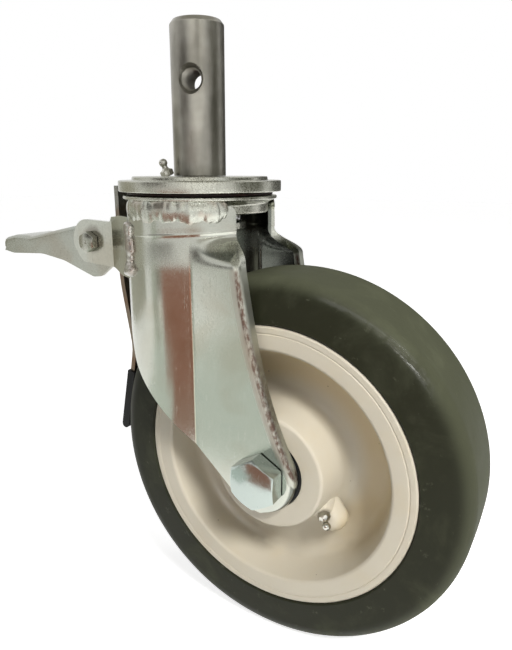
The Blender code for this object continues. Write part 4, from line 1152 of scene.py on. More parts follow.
@dataclass
class HexHead:
    """Hexagon head or nut whose corners are cut by a cone."""

    flats: float
    height: float
    bore: float = 0.0
    dimple: float = 0.0
    shank: float = 0.0
    shank_radius: float = 0.0
    both_ends: bool = False
    segments: int = 96
    face_share: float = 0.476
    seat_chamfer: float = 0.03
    bore_flare: float = 1.09
    tip_share: float = 0.16

    def surface(self) -> Surface:
        """Rings of the head, from its seat up to its face.

        A corner's height falls by tan 30 degrees times how far it stands past the face.

        Returns:
            The surface about its own Z.
        """
        turn = np.arange(self.segments) * FULL_TURN / self.segments
        hexagon = hexagon_reach(self.flats, turn)
        face = self.flats * self.face_share
        top = self.height - np.maximum(hexagon - face, 0.0) * math.tan(math.radians(30.0))
        low = self.height - top if self.both_ends else self.height * self.seat_chamfer
        rings = [(face, 0.0), (hexagon, low), (hexagon, (low + top) / 2.0), (hexagon, top),
                 (face, self.height)]
        if self.bore:
            wide = self.bore * self.bore_flare
            rings = [(wide, 0.0), *rings, (wide, self.height),
                     (self.bore, self.height - (wide - self.bore)), (self.bore, wide - self.bore)]
        if self.dimple:
            rings += [(self.dimple, self.height),
                      (self.dimple * 0.7, self.height - self.dimple / 2)]
        if self.shank:
            tip = self.shank_radius * self.tip_share
            rings = [(self.shank_radius - tip, -self.shank),
                     (self.shank_radius, tip - self.shank), (self.shank_radius, -1e-5), *rings]
        return ringed(rings, turn, endless=bool(self.bore))


@dataclass(frozen=True)
class BoltSet:
    """Bolt through both sides, with its head near and its washer and nut far."""

    name: str
    flats: float
    head: float
    shank_radius: float
    bore: float
    washer_radius: float
    washer_thickness: float
    nut_height: float
    tail: float
    dimple: float = 0.0

    def build(self, assembly: "Assembly", middle: np.ndarray, seat: float,
              head_finish: bpy.types.Material, finish: bpy.types.Material) -> None:
        """Build the bolt, the washer and the nut.

        Args:
            assembly: the assembly that they belong to.
            middle: where the bolt crosses the middle plane.
            seat: how far the seats of head and washer are from the middle plane.
            head_finish: the bolt's material.
            finish: material of the washer and the nut.
        """
        nut_seat = seat + self.washer_thickness + PLACE.gap
        bolt = HexHead(self.flats, self.head, dimple=self.dimple, shank_radius=self.shank_radius,
                       shank=seat + nut_seat + self.nut_height + self.tail)
        nut = HexHead(self.flats, self.nut_height, bore=self.bore, both_ends=True)
        flat = washer(self.bore, self.washer_radius, self.washer_thickness)
        for kind, node, surface, level, facing, made_of in (
                ("hex_bolt", "bolt", bolt.surface(), -seat, Facing.NEAR_SIDE, head_finish),
                ("plain_washer", "washer", flat, seat, Facing.FAR_SIDE, finish),
                ("hex_nut", "nut", nut.surface(), nut_seat, Facing.FAR_SIDE, finish)):
            mesh = surface_mesh(f"{self.name}_{kind}", set_in(
                surface, middle + [0.0, level, 0.0], facing))
            assembly.add(mesh, "fork", "zinc_plate", made_of, f"{self.name}_{node}")


def washer(bore: float, radius: float, thickness: float, edge: float = 0.25 * MM) -> Surface:
    """Flat ring with rounded rims.

    Args:
        bore: radius of its hole.
        radius: outer radius.
        thickness: its thickness.
        edge: radius of its rims.

    Returns:
        The surface about its own Z, standing on its seat.
    """
    return turned(softened([(bore, 0.0, edge), (radius, 0.0, edge), (radius, thickness, edge),
                            (bore, thickness, edge)], 3), 96)


def nipple_surface(flats: float = 7.6 * MM, length: float = 11.6 * MM) -> Surface:
    """Grease nipple: hexagon, coned shoulder, neck and ball end with its filling hole.

    Args:
        flats: size of the hexagon across flats.
        length: height above its seat.

    Returns:
        The surface about its own Z.
    """
    turn = np.arange(48) * FULL_TURN / 48
    hexagon = hexagon_reach(flats, turn)
    seat = flats * 0.46
    top = 4.0 * MM
    ball, neck = 2.8 * MM, 1.9 * MM
    middle = length - ball
    sweep = np.linspace(-math.acos(neck / ball), math.radians(62), 9)
    rings = [(seat, 0.0), (hexagon, 0.4 * MM), (hexagon, top - 0.5 * MM), (seat, top),
             (neck * 1.35, top + 0.5 * MM), (neck, top + 1.4 * MM)]
    rings += [(ball * math.cos(t), middle + ball * math.sin(t)) for t in sweep]
    rings += [(0.55 * MM, middle + ball * math.sin(sweep[-1]) + 0.1 * MM),
              (0.5 * MM, middle + ball * 0.4)]
    return ringed(rings, turn)


# Stem and swivel head

@dataclass(frozen=True)
class BallRow:
    """A row of balls in its retainer."""

    name: str
    node: str
    pitch: float
    ball: float
    level: float
    count: int = 12
    cage_half: tuple = (2.2 * MM, 0.6 * MM)

    def mesh(self) -> bpy.types.Mesh:
        """Balls and retainer in one mesh.

        A ball is (R cos v cos u, R cos v sin u, R sin v), set round the row's circle.

        Returns:
            The mesh.
        """
        turn = np.arange(20) * FULL_TURN / 20
        sweep = np.linspace(-math.pi / 2 + 1e-3, math.pi / 2 - 1e-3, 11)
        one = ringed([(self.ball * math.cos(v), self.ball * math.sin(v)) for v in sweep], turn)
        azimuth = FULL_TURN * (np.arange(self.count) + 0.5) / self.count
        centres = joined(self.pitch * np.cos(azimuth), self.pitch * np.sin(azimuth), self.level)
        size = one.points.size // 3
        points, faces = [], []
        for index, centre in enumerate(centres):
            points.append(one.points.reshape(-1, 3) + centre)
            faces += [block + index * size for block in (one.quads(), *one.caps())]
        wide, high = self.cage_half
        cage = turned(softened([(self.pitch + a * wide, self.level + b * high, 0.0)
                                for a, b in ((-1, -1), (1, -1), (1, 1), (-1, 1))]), 96)
        points.append(cage.points.reshape(-1, 3))
        faces.append(cage.quads() + self.count * size)
        return make_mesh(self.name, np.concatenate(points), faces)


@dataclass
class SwivelHead(Assembly):
    """Stem with its kingpin, top plate, raceway ring, seal, balls and king nut."""

    chamfer: float = 2.1 * MM
    hole_radius: float = 6.6 * MM
    hole_level: float = -36.3 * MM
    hole_azimuth: float = math.radians(18.5)
    hole_flare: float = 1.9 * MM
    thread_pitch: float = 1.4 * MM
    thread_depth: float = 0.42 * MM
    kingpin_end: float = -144.7 * MM
    plate_radius: float = 54.8 * MM
    disc_radius: float = 45.6 * MM
    lip_radius: float = 52.0 * MM
    ring_radius: float = 46.2 * MM
    ring_wall: float = 4.2 * MM
    ring_floor: float = -112.9 * MM
    ring_foot: float = -118.9 * MM
    race_radius: float = 6.65 * MM
    race_lift: float = 3.85 * MM
    race_half: float = 0.954
    seal_radius: float = 49.2 * MM
    seal_inner: float = 43.7 * MM
    nut_level: float = -142.7 * MM
    nipple_azimuth: float = math.radians(-37)
    nipple_lean: float = math.radians(20)
    nipple_reach: float = 22.3 * MM
    upper: BallRow = BallRow("upper_balls", "upper_ball_row", 34.0 * MM, 6.35 * MM, -109.05 * MM)
    lower: BallRow = BallRow("lower_balls", "lower_ball_row", 24.0 * MM, 4.75 * MM, -122.15 * MM)

    def stem(self) -> None:
        """Turn the bar, then bore the cross hole with its thread and countersinks."""
        radius = PLACE.stem_radius
        shoulder = PLACE.disc_top + PLACE.gap
        outline = softened([(0.0, 0.0, 0.0), (radius - self.chamfer, 0.0, 0.5 * MM),
                            (radius, -self.chamfer * 1.3, 1.5 * MM),
                            (radius, shoulder, 0.3 * MM), (PLACE.kingpin_radius, shoulder, 0.0),
                            (PLACE.kingpin_radius, self.kingpin_end + 1.0 * MM, 0.0),
                            (PLACE.kingpin_radius - 1.0 * MM, self.kingpin_end, 0.0),
                            (0.0, self.kingpin_end, 0.0)], 4, False)
        blank = surface_mesh("stem_bar", turned(outline[1:-1], 160, endless=False))
        reach = radius + 4.0 * MM
        mouth = math.sqrt(radius ** 2 - self.hole_radius ** 2)
        run = np.arange(-mouth + self.hole_flare, mouth - self.hole_flare, 0.35 * MM)
        thread = self.hole_radius + self.thread_depth * np.cos(run * FULL_TURN / self.thread_pitch)
        wide = self.hole_radius + reach - mouth
        drill = np.concatenate([[[wide, -reach]], np.stack([thread, run], axis=1),
                                [[wide, reach]]])
        tool = set_in(turned(drill, 64, endless=False), np.array([0.0, 0.0, self.hole_level]),
                      facing_along(outward(self.hole_azimuth)))
        bar = cut(blank, [surface_mesh("stem_drill", tool)], 30.0)
        self.add(bar, "head", "bare_steel", self.finishes.stem, "stem")

    def plate(self) -> None:
        """Turn the top plate with its raised disc and the race under it."""
        bore = PLACE.kingpin_radius + PLACE.gap
        race = [(self.upper.pitch + self.race_radius * math.sin(t),
                 PLACE.plate_bottom - self.race_lift + self.race_radius * math.cos(t), 0.0)
                for t in np.linspace(self.race_half, -self.race_half, 13)]
        outline = softened([(bore, PLACE.disc_top, 0.0),
                            (self.disc_radius, PLACE.disc_top, 0.9 * MM),
                            (self.disc_radius + 0.25 * MM, PLACE.plate_top, 0.5 * MM),
                            (self.plate_radius, PLACE.plate_top, 0.9 * MM),
                            (self.plate_radius, PLACE.plate_bottom, 0.8 * MM),
                            *race, (bore, PLACE.plate_bottom, 0.0)], 4)
        self.add(surface_mesh("swivel_plate", turned(outline, 160)), "head", "zinc_plate",
                 self.finishes.plate, "top_plate")

    def ring(self) -> None:
        """Turn the raceway cup with its spread lip, and the seal above it."""
        floor, foot = self.ring_floor, self.ring_foot
        inner = self.ring_radius - self.ring_wall
        bore = PLACE.kingpin_radius + 2.0 * MM
        pitch, span = self.upper.pitch, 6.4 * MM
        outline = softened([
            (bore, floor, 0.5 * MM), (pitch - span, floor, 0.5 * MM),
            (pitch, floor - 2.8 * MM, 6.0 * MM), (pitch + span, floor, 0.5 * MM),
            (inner, floor, 0.8 * MM), (inner, PLACE.lip_top, 0.6 * MM),
            (self.lip_radius, PLACE.lip_top, 0.7 * MM),
            (self.lip_radius, PLACE.lip_bottom, 0.7 * MM),
            (self.ring_radius, PLACE.lip_bottom - 2.6 * MM, 2.0 * MM),
            (self.ring_radius, foot, 1.5 * MM), (self.lower.pitch + 4.0 * MM, foot, 0.5 * MM),
            (self.lower.pitch, foot + 1.8 * MM, 4.0 * MM),
            (self.lower.pitch - 4.0 * MM, foot, 0.5 * MM), (bore, foot, 0.5 * MM)], 4)
        self.add(surface_mesh("raceway_cup", turned(outline, 160)), "fork", "zinc_plate",
                 self.finishes.plate, "raceway_ring")
        low, high = PLACE.lip_top + PLACE.gap, PLACE.plate_bottom - PLACE.gap
        outline = softened([(self.seal_inner, low, 0.4 * MM), (self.seal_radius, low, 0.8 * MM),
                            (self.seal_radius, high, 0.8 * MM),
                            (self.seal_inner, high, 0.4 * MM)], 4)
        self.add(surface_mesh("seal_band", turned(outline, 128)), "fork", "seal_felt",
                 self.finishes.seal, "dust_seal")

    def king(self) -> None:
        """King washer and nut under the ring, and the nipple on the plate."""
        self.dress(self.finishes.plate, "king_washer")
        nut = HexHead(36.0 * MM, 12.0 * MM, bore=PLACE.kingpin_radius + PLACE.gap, both_ends=True)
        self.add(surface_mesh("king_pin_nut", set_in(nut.surface(), np.array(
            [0.0, 0.0, self.nut_level]), Facing.UP)), "head", "zinc_plate", self.finishes.bolts,
            "king_nut")
        out = outward(self.nipple_azimuth)
        axis = out * math.sin(self.nipple_lean) + np.array([0.0, 0.0, math.cos(self.nipple_lean)])
        foot = out * self.nipple_reach + np.array([0.0, 0.0, PLACE.disc_top + 0.3 * MM])
        self.add(surface_mesh("plate_nipple", set_in(nipple_surface(), foot, facing_along(axis))),
                 "head", "nipple_steel", self.finishes.nipple, "plate_grease_nipple")

    def build(self) -> None:
        """Build every piece of the head."""
        self.stem()
        self.plate()
        self.ring()
        for row in (self.upper, self.lower):
            self.add(row.mesh(), "head", "hard_steel", self.finishes.hard, row.node)
        self.king()


# Fork

def eased(value: np.ndarray) -> np.ndarray:
    """Smooth step, 3 v^2 - 2 v^3, held at 0 and 1 outside.

    Args:
        value: what to ease.

    Returns:
        Values from 0 to 1.
    """
    value = np.clip(value, 0.0, 1.0)
    return value * value * (3.0 - 2.0 * value)


@dataclass
class ForkLegs(Assembly):
    """The two pressed legs and the weld beads that hold them to the ring."""

    sheet: float = 4.5 * MM
    radius: float = 51.0 * MM
    front_azimuth: float = math.radians(-38)
    neck_azimuth: float = math.radians(60)
    top_corner: float = 5.0 * MM
    shoulder_top: float = PLACE.plate_top - 32.0 * MM
    shoulder_foot: float = PLACE.plate_top - 50.0 * MM
    rear_start: float = 57.0 * MM
    rear_lean: float = 0.17
    eye: float = 25.3 * MM
    eye_rear: float = math.radians(31)
    eye_reach: float = 22.5 * MM
    front_slope: float = math.radians(42.6)
    front_round: float = 8.0 * MM
    bend: float = 5.0 * MM
    depth: float = 10.0 * MM
    depth_at_eye: float = 7.5 * MM
    crease_round: float = 1.3 * MM
    edge_reach: float = 6.0 * MM
    line_drop: float = 33.0 * MM
    line_rise: float = 2.6 * MM
    line_height: float = 0.26 * MM
    line_soft: float = 0.35 * MM
    swell: float = 1.5 * MM
    swell_from: tuple = (1.0 * MM, 20.0 * MM)
    swell_to: tuple = (30.0 * MM, 60.0 * MM)
    swell_side: tuple = (0.15, 0.4)
    hole_radius: float = 10.3 * MM
    flange_line: float = 0.3

    @property
    def crease_azimuth(self) -> float:
        """Angle of the crease, where the cylinder meets the flat side's plane."""
        return math.acos(PLACE.leg_plane / self.radius)

    @property
    def crease_x(self) -> float:
        """Position of the crease along X."""
        return self.radius * math.sin(self.crease_azimuth)

    def spread(self, level: np.ndarray) -> np.ndarray:
        """Share by which the leg has spread from cylinder to flat side at each level.

        Args:
            level: heights.

        Returns:
            Values from 0 to 1.
        """
        return eased((self.shoulder_top - level) / (self.shoulder_top - self.shoulder_foot))

    def face(self, run: np.ndarray, level: np.ndarray) -> np.ndarray:
        """Outer face of the near leg.

        Up to the crease it is the cylinder (R sin a, -R cos a) with a = run / R, and past it
        the cylinder eases with the level into the plane y = -leg_plane.

        Args:
            run: arc length along the section.
            level: heights.

        Returns:
            Points.
        """
        crease = self.radius * self.crease_azimuth
        x, y, _ = np.moveaxis(self.radius * outward(run / self.radius), -1, 0)
        share = np.where(run > crease, self.spread(level), 0.0)
        x = x + share * (self.crease_x + run - crease - x)
        y = y + share * (-PLACE.leg_plane - y)
        return joined(x, y, level)

    def soft_face(self, run: np.ndarray, level: np.ndarray) -> np.ndarray:
        """The outer face with a rounded crease, the step that the press leaves and a swell.

        The crease is averaged over a short run, longer at the shoulder. The press line
        climbs from front to rear, and the face stands proud above it by
        h / (1 + exp(-d / 0.35 mm)), where d is the height over the line, with a low ridge on
        the line. Under the line the leg swells and goes back again, by two smooth steps down
        from the line and one away from the front edge, each (start, span).

        Args:
            run: arc length along the section.
            level: heights.

        Returns:
            Points.
        """
        blur = self.crease_round * (0.6 + 6.0 * (1.0 - self.spread(level)))
        wall = sum(self.face(run + reach * blur, level) for reach in np.linspace(-1.0, 1.0, 9)) / 9.0
        azimuth = np.clip(run / self.radius, self.front_azimuth, self.neck_azimuth)
        line = PLACE.plate_top - self.line_drop + self.line_rise * azimuth
        above = 1.0 / (1.0 + np.exp(np.clip((line - level) / self.line_soft, -30.0, 30.0)))
        ridge = np.exp(-((level - line) / (2.0 * self.line_soft)) ** 2)
        proud = self.line_height * (0.55 * above + 0.7 * ridge)
        proud = proud * (1.0 - eased((level - line - 4.0 * MM) / (6.0 * MM)))
        risen, faded = (eased((line - start - level) / span)
                        for start, span in (self.swell_from, self.swell_to))
        start, span = self.swell_side
        inside = eased((azimuth - self.front_azimuth - start) / span)
        swell = self.swell * risen * (1.0 - faded) * inside
        away = outward(np.minimum(azimuth, self.crease_azimuth))
        return wall + proud[..., None] * outward(azimuth) + swell[..., None] * away

    def front(self, level: np.ndarray) -> np.ndarray:
        """The leg's front edge as arc length: upright, a straight slope, then the eye.

        Below the cheeks it bulges forward a little.

        Args:
            level: heights.

        Returns:
            Arc lengths along the section.
        """
        upright = self.radius * math.sin(self.front_azimuth)
        angle = -math.pi / 2.0 - self.front_slope
        touch_x = PLACE.axle_x + self.eye * math.cos(angle)
        touch_z = PLACE.axle_z + self.eye * math.sin(angle)
        slope = touch_x - (level - touch_z) / math.tan(self.front_slope)
        over = slope - upright
        swept = upright + (over + np.sqrt(over ** 2 + self.front_round ** 2)) / 2.0
        chord = np.sqrt(np.maximum(self.eye ** 2 - (level - PLACE.axle_z) ** 2, 0.0))
        edge = self.run_of(np.where(level < touch_z, PLACE.axle_x - chord, swept))
        free = eased((PLACE.pivot_z - 16.0 * MM - level) / (6.0 * MM))
        free = free * (1.0 - eased((PLACE.pivot_z - 54.0 * MM - level) / (22.0 * MM)))
        return edge - self.edge_reach * free

    def rear(self, level: np.ndarray) -> np.ndarray:
        """The leg's rear edge: a cubic from the shoulder that meets the eye's circle.

        Args:
            level: heights.

        Returns:
            Positions along X.
        """
        touch_x = PLACE.axle_x + self.eye_reach * math.cos(self.eye_rear)
        touch_z = PLACE.axle_z + self.eye * math.sin(self.eye_rear)
        span = self.shoulder_foot - touch_z
        t = np.clip((self.shoulder_foot - level) / span, 0.0, 1.0)
        swept = (2 * t ** 3 - 3 * t ** 2 + 1) * self.rear_start + (3 * t ** 2 - 2 * t ** 3) * touch_x
        swept = swept + (t ** 3 - 2 * t ** 2 + t) * span * self.rear_lean
        lean = math.tan(self.eye_rear) * self.eye_reach / self.eye
        swept = swept + (t ** 3 - t ** 2) * span * lean
        sunk = (level - PLACE.axle_z) / self.eye
        chord = self.eye_reach * np.sqrt(np.maximum(1.0 - sunk ** 2, 0.0))
        return np.where(level < touch_z, PLACE.axle_x + chord, swept)

    def run_of(self, x: np.ndarray) -> np.ndarray:
        """Arc length along the lower section at each x.

        Args:
            x: positions along X.

        Returns:
            Arc lengths.
        """
        bent = self.radius * np.arcsin(np.clip(x / self.radius, -1.0, 1.0))
        past = self.radius * self.crease_azimuth + x - self.crease_x
        return np.where(x < self.crease_x, bent, past)

    def grid(self) -> tuple[np.ndarray, np.ndarray]:
        """Both faces of the near leg.

        Rows follow the level and columns the arc length, and the last columns turn the
        flange inwards through a quarter circle of the bend's radius.

        Returns:
            The outer and the inner grid.
        """
        top = PLACE.leg_top
        corner = top - self.top_corner * (1.0 - np.cos(np.linspace(0.0, math.pi / 2.0, 6)))
        eye = PLACE.axle_z - self.eye * np.sin(np.linspace(0.0, math.radians(87), 22))
        band = PLACE.plate_top - self.line_drop + np.array([6.0, -6.0]) * MM
        level = np.concatenate([corner, np.linspace(corner[-1], band[0], 6)[1:-1],
                                np.linspace(band[0], band[1], 44),
                                np.linspace(band[1], PLACE.axle_z, 84)[1:-1], eye])
        rise = np.clip(level - (top - self.top_corner), 0.0, None)
        cut_back = self.top_corner - np.sqrt(np.maximum(self.top_corner ** 2 - rise ** 2, 0.0))
        share = self.spread(level)
        start = self.front(level)
        rear = self.rear(level)
        bend = np.minimum(self.bend, np.maximum(rear - (PLACE.axle_x - self.eye), 1.0 * MM) * 0.5)
        chord = np.sqrt(np.maximum(self.eye ** 2 - (level - PLACE.axle_z) ** 2, 0.0))
        bend = np.where(level < PLACE.axle_z, np.minimum(bend, chord), bend)
        stop = self.radius * self.neck_azimuth * (1.0 - share)
        stop = stop + self.run_of(rear - bend) * share - cut_back
        stop = np.maximum(stop, start + 0.4 * MM)
        u = np.linspace(0.0, 1.0, 64)
        run = start[:, None] + (stop - start)[:, None] * u
        wall = self.soft_face(run, np.broadcast_to(level[:, None], run.shape))
        along = wall[:, -1] - wall[:, -2]
        along[:, 2] = 0.0
        along /= np.linalg.norm(along, axis=1)[:, None]
        inward = joined(-along[:, 1], along[:, 0], 0.0)
        quarter = np.linspace(0.0, 1.0, 8)[1:, None, None]
        angle = share[None, :, None] * quarter * math.pi / 2.0
        turn = wall[:, -1] + bend[None, :, None] * (np.sin(angle) * along
                                                    + (1.0 - np.cos(angle)) * inward)
        deep = eased((self.shoulder_foot - level) / (self.shoulder_foot - PLACE.axle_z))
        reach = (self.depth + (self.depth_at_eye - self.depth) * deep - bend) * share
        last = share[:, None] * math.pi / 2.0
        lip = turn[-1] + np.maximum(reach, 0.05 * MM)[:, None] * (
            np.cos(last) * along + np.sin(last) * inward)
        outer = np.concatenate([wall, turn.transpose(1, 0, 2), lip[:, None]], axis=1)
        bent = (np.cos(angle) * along + np.sin(angle) * inward).transpose(1, 0, 2)
        across = np.concatenate([np.gradient(wall, axis=1), bent, bent[:, -1:]], axis=1)
        normal = np.cross(np.gradient(outer, axis=0), across)
        normal /= np.linalg.norm(normal, axis=2)[..., None]
        # The near leg's outer face looks to -Y
        normal *= -np.sign(normal[40, 5, 1])
        return outer, outer - self.sheet * normal

    def build(self) -> None:
        """Build both legs and their weld beads."""
        outer, inner = self.grid()
        leg_zinc = self.finish()
        for side in Side:
            name = side.name.lower()
            flip = mirror(side)
            blank = sheet_mesh("leg_pressing_" + name, outer * flip, inner * flip, 30.0)
            hole = crossbar("axle_hole", self.hole_radius, PLACE.axle, 80.0 * MM, 64)
            self.add(cut(blank, [hole], 30.0), "fork", "zinc_plate", leg_zinc, name + "_leg",
                     edge=0.6 * MM)
            weld = WeldBead(self.ring_path(), height=1.6 * MM, half_width=7.4 * MM,
                            pitch=5.8 * MM, ripple=0.07, arch=1.6, seed=3.0)
            self.add(surface_mesh("ring_bead_" + name, weld.surface(flip)), "fork", "weld_steel",
                     self.finishes.pale_weld, "ring_weld_" + name)

    def finish(self) -> bpy.types.Material:
        """Zinc that follows the crease and the bend of the rear flange.

        Returns:
            The material.
        """
        level = np.linspace(PLACE.axle_z + 5.0 * MM, self.shoulder_foot + 4.0 * MM, 60)
        bend = np.polyfit(level, self.rear(level) - self.flange_line * self.bend, 3)[::-1]
        LOG.info("leg bend: %s", bend.round(3).tolist())
        lines = PressedLines(tuple(map(float, bend)), self.crease_x)
        return ZincFinish("zinc_leg", stain=(0.10, 0.055, 0.04), lines=lines).material()

    def ring_path(self) -> tuple[np.ndarray, np.ndarray]:
        """Middle line of the ring's weld bead on the near side, and its outward way.

        Returns:
            Points and directions.
        """
        azimuth = np.linspace(self.front_azimuth + 0.02, self.neck_azimuth - 0.1, 320)
        out = outward(azimuth)
        wander = 0.3 * MM * np.sin(azimuth * 9.0) + 0.2 * MM * np.sin(azimuth * 23.0)
        middle = out * (self.radius - 0.35 * MM)
        middle[:, 2] = PLACE.lip_bottom - 6.2 * MM + wander
        return middle, out


@dataclass
class WeldBead:
    """Weld bead along a path: a low arch with crescent ripples and uneven edges."""

    path: tuple[np.ndarray, np.ndarray]
    height: float
    half_width: float
    pitch: float
    ripple: float = 0.16
    arch: float = 1.2
    blob: float = 0.0
    seed: float = 0.0

    def surface(self, flip: np.ndarray) -> Surface:
        """Carry the bead's arch along its path.

        At a share s along the path and an angle a across it, the arch is
        (w cos a, h sin^p a), and its size swells with the ripple
        r |sin(pi (s / pitch + 0.5 cos^2 a))|, stronger at the ends, and slow waves.

        Args:
            flip: factor on each axis, to mirror the bead to the far side.

        Returns:
            The surface.
        """
        middle, out = self.path
        along = np.gradient(middle, axis=0)
        step = np.linalg.norm(along, axis=1)
        along /= step[:, None]
        across = np.cross(out, along)
        length = np.cumsum(step)[:, None]
        angle = np.linspace(0.0, FULL_TURN, 24, endpoint=False)[None]
        uneven = length / self.pitch + 0.6 * np.sin(length * 210.0 + self.seed)
        ripple = np.abs(np.sin(math.pi * (uneven + 0.5 * np.cos(angle) ** 2)))
        slow = np.sin(length * 420.0 + self.seed) * 0.10 + np.sin(length * 1130.0) * 0.05
        share = np.linspace(-1.0, 1.0, len(middle))[:, None]
        ripple = ripple * self.ripple * (0.4 + 0.9 * np.abs(share) ** 3)
        ends = np.sqrt(np.clip(1.0 - share ** 12, 0.02, 1.0))
        lump = self.blob * np.exp(-((share - 0.78) / 0.16) ** 2)
        size = (0.88 + ripple + slow + lump) * ends
        wide = self.half_width * np.cos(angle) * size
        arch = np.sign(np.sin(angle)) * np.abs(np.sin(angle)) ** self.arch
        high = self.height * np.where(arch > 0.0, arch, 0.35 * arch) * size
        points = middle[:, None] + wide[..., None] * across[:, None] + high[..., None] * out[:, None]
        return Surface(points * flip, endless=False)


# Brake

@dataclass
class Brake(Assembly):
    """Cheeks, pivot, pedal lever, leaf and shoe, fitted to the legs' front edges."""

    legs: ForkLegs
    cheek_sheet: float = 4.0 * MM
    cheek_inner: float = 22.0 * MM
    nose: tuple = ((-17.9, -0.6, 1.2), (-17.7, -1.8, 2.4), (-17.3, -3.4, 4.3), (-16.6, -5.2, 6.4),
                   (-14.9, -8.2, 9.7), (-12.6, -11.4, 12.4), (-10.5, -13.6, 13.9),
                   (-8.2, -15.2, 15.0), (-6.0, -15.5, 15.6), (-3.7, -15.6, 15.7),
                   (8.0, -16.4, 15.2), (18.7, -17.0, 14.7))
    flare_top: tuple = (18.5 * MM, 1.7 * MM)
    flare_foot: tuple = (17.2 * MM, 3.5 * MM)
    bend_x: float = -58.8 * MM
    lever_half: float = 20.2 * MM
    lever_sheet: float = 3.0 * MM
    lever_round: float = 3.6 * MM
    pivot_hole: float = 4.3 * MM
    bush_hole: float = 8.8 * MM
    groove_box: tuple = ((-61.3 * MM, -56.2 * MM), (-23.5 * MM, 23.5 * MM),
                         (-148.3 * MM, -135.7 * MM))
    pivot_set: BoltSet = BoltSet(
        "pivot", flats=13.0 * MM, head=5.5 * MM, shank_radius=4.0 * MM, bore=4.3 * MM,
        washer_radius=8.3 * MM, washer_thickness=1.5 * MM, nut_height=6.8 * MM, tail=1.5 * MM,
        dimple=1.3 * MM)

    def cheeks(self) -> None:
        """Round-ended cheeks that flare out to butt on the legs' front edges, and their welds."""
        outer, inner = self.cheek_grids()
        for side in Side:
            name = side.name.lower()
            flip = mirror(side)
            blank = sheet_mesh("cheek_" + name, outer * flip, inner * flip, 25.0)
            hole = crossbar("pivot_hole", self.pivot_hole, PLACE.pivot, 40.0 * MM)
            self.add(cut(blank, [hole, self.groove()], 25.0), "fork", "zinc_plate",
                     self.finishes.cheek, "brake_cheek_" + name, edge=0.5 * MM)
            bead = WeldBead(self.cheek_path(), height=3.2 * MM, half_width=6.0 * MM,
                            pitch=7.0 * MM, ripple=0.2, arch=0.8, blob=0.35, seed=1.0)
            self.add(surface_mesh("cheek_bead_" + name, bead.surface(flip)), "fork",
                     "weld_steel", self.finishes.weld, "cheek_weld_" + name)

    def cheek_grids(self) -> list[np.ndarray]:
        """Both faces of the near cheek: flat round the pivot, then flared to the leg.

        Returns:
            The outer and the inner grid.
        """
        outer_y = self.cheek_inner + self.cheek_sheet
        out = outward(self.legs.front_azimuth)[:2]
        back = np.array([out[1], -out[0]])
        end_out = self.legs.radius * out + PLACE.gap * back
        end_in = end_out - self.cheek_sheet * out
        start_out = np.array([self.bend_x, -outer_y])
        turn = math.atan2(start_out[1] - end_out[1], end_out[0] - start_out[0])
        start_in = start_out + self.cheek_sheet * np.array([math.tan(turn / 2.0), 1.0])
        nose = np.array(self.nose) * MM
        share = np.linspace(0.0, 1.0, 14)[:, None]
        grown = eased(share[:, 0] / 0.6)
        low = PLACE.pivot_z + np.concatenate([
            nose[:, 1], -self.flare_foot[0] - self.flare_foot[1] * grown])
        high = PLACE.pivot_z + np.concatenate([
            nose[:, 2], self.flare_top[0] + self.flare_top[1] * grown])
        level = low[:, None] + (high - low)[:, None] * np.linspace(0.0, 1.0, 10)
        grids = []
        for y, start, end in ((-outer_y, start_out, end_out), (-self.cheek_inner, start_in, end_in)):
            flat = np.stack([PLACE.pivot_x + nose[:, 0], np.full(len(nose), y)], axis=1)
            plan = np.concatenate([flat, start + share * (end - start)])
            grids.append(np.concatenate([np.repeat(plan[:, None], 10, axis=1), level[..., None]],
                                        axis=2))
        return grids

    def cheek_path(self) -> tuple[np.ndarray, np.ndarray]:
        """Middle line of the near cheek's weld bead, and its outward way.

        Returns:
            Points and directions.
        """
        level = np.linspace(PLACE.pivot_z + self.flare_top[0] - 1.0 * MM,
                            PLACE.pivot_z - sum(self.flare_foot) + 2.0 * MM, 160)
        wander = 5.4 * MM + 0.8 * MM * np.sin(level * 260.0)
        out = outward(self.legs.front_azimuth + wander / self.legs.radius)
        middle = out * (self.legs.radius + 0.1 * MM)
        middle[:, 2] = level
        return middle, out

    def groove(self) -> bpy.types.Mesh:
        """Box that cuts the leaf's groove into the cheeks.

        Returns:
            The box's mesh.
        """
        (x0, x1), sides, (z0, z1) = self.groove_box
        ring = np.array([[x0, z0], [x1, z0], [x1, z1], [x0, z1]])
        points = np.stack([joined(ring[:, 0], side, ring[:, 1]) for side in sides])
        return surface_mesh("leaf_groove", Surface(points, endless=False))

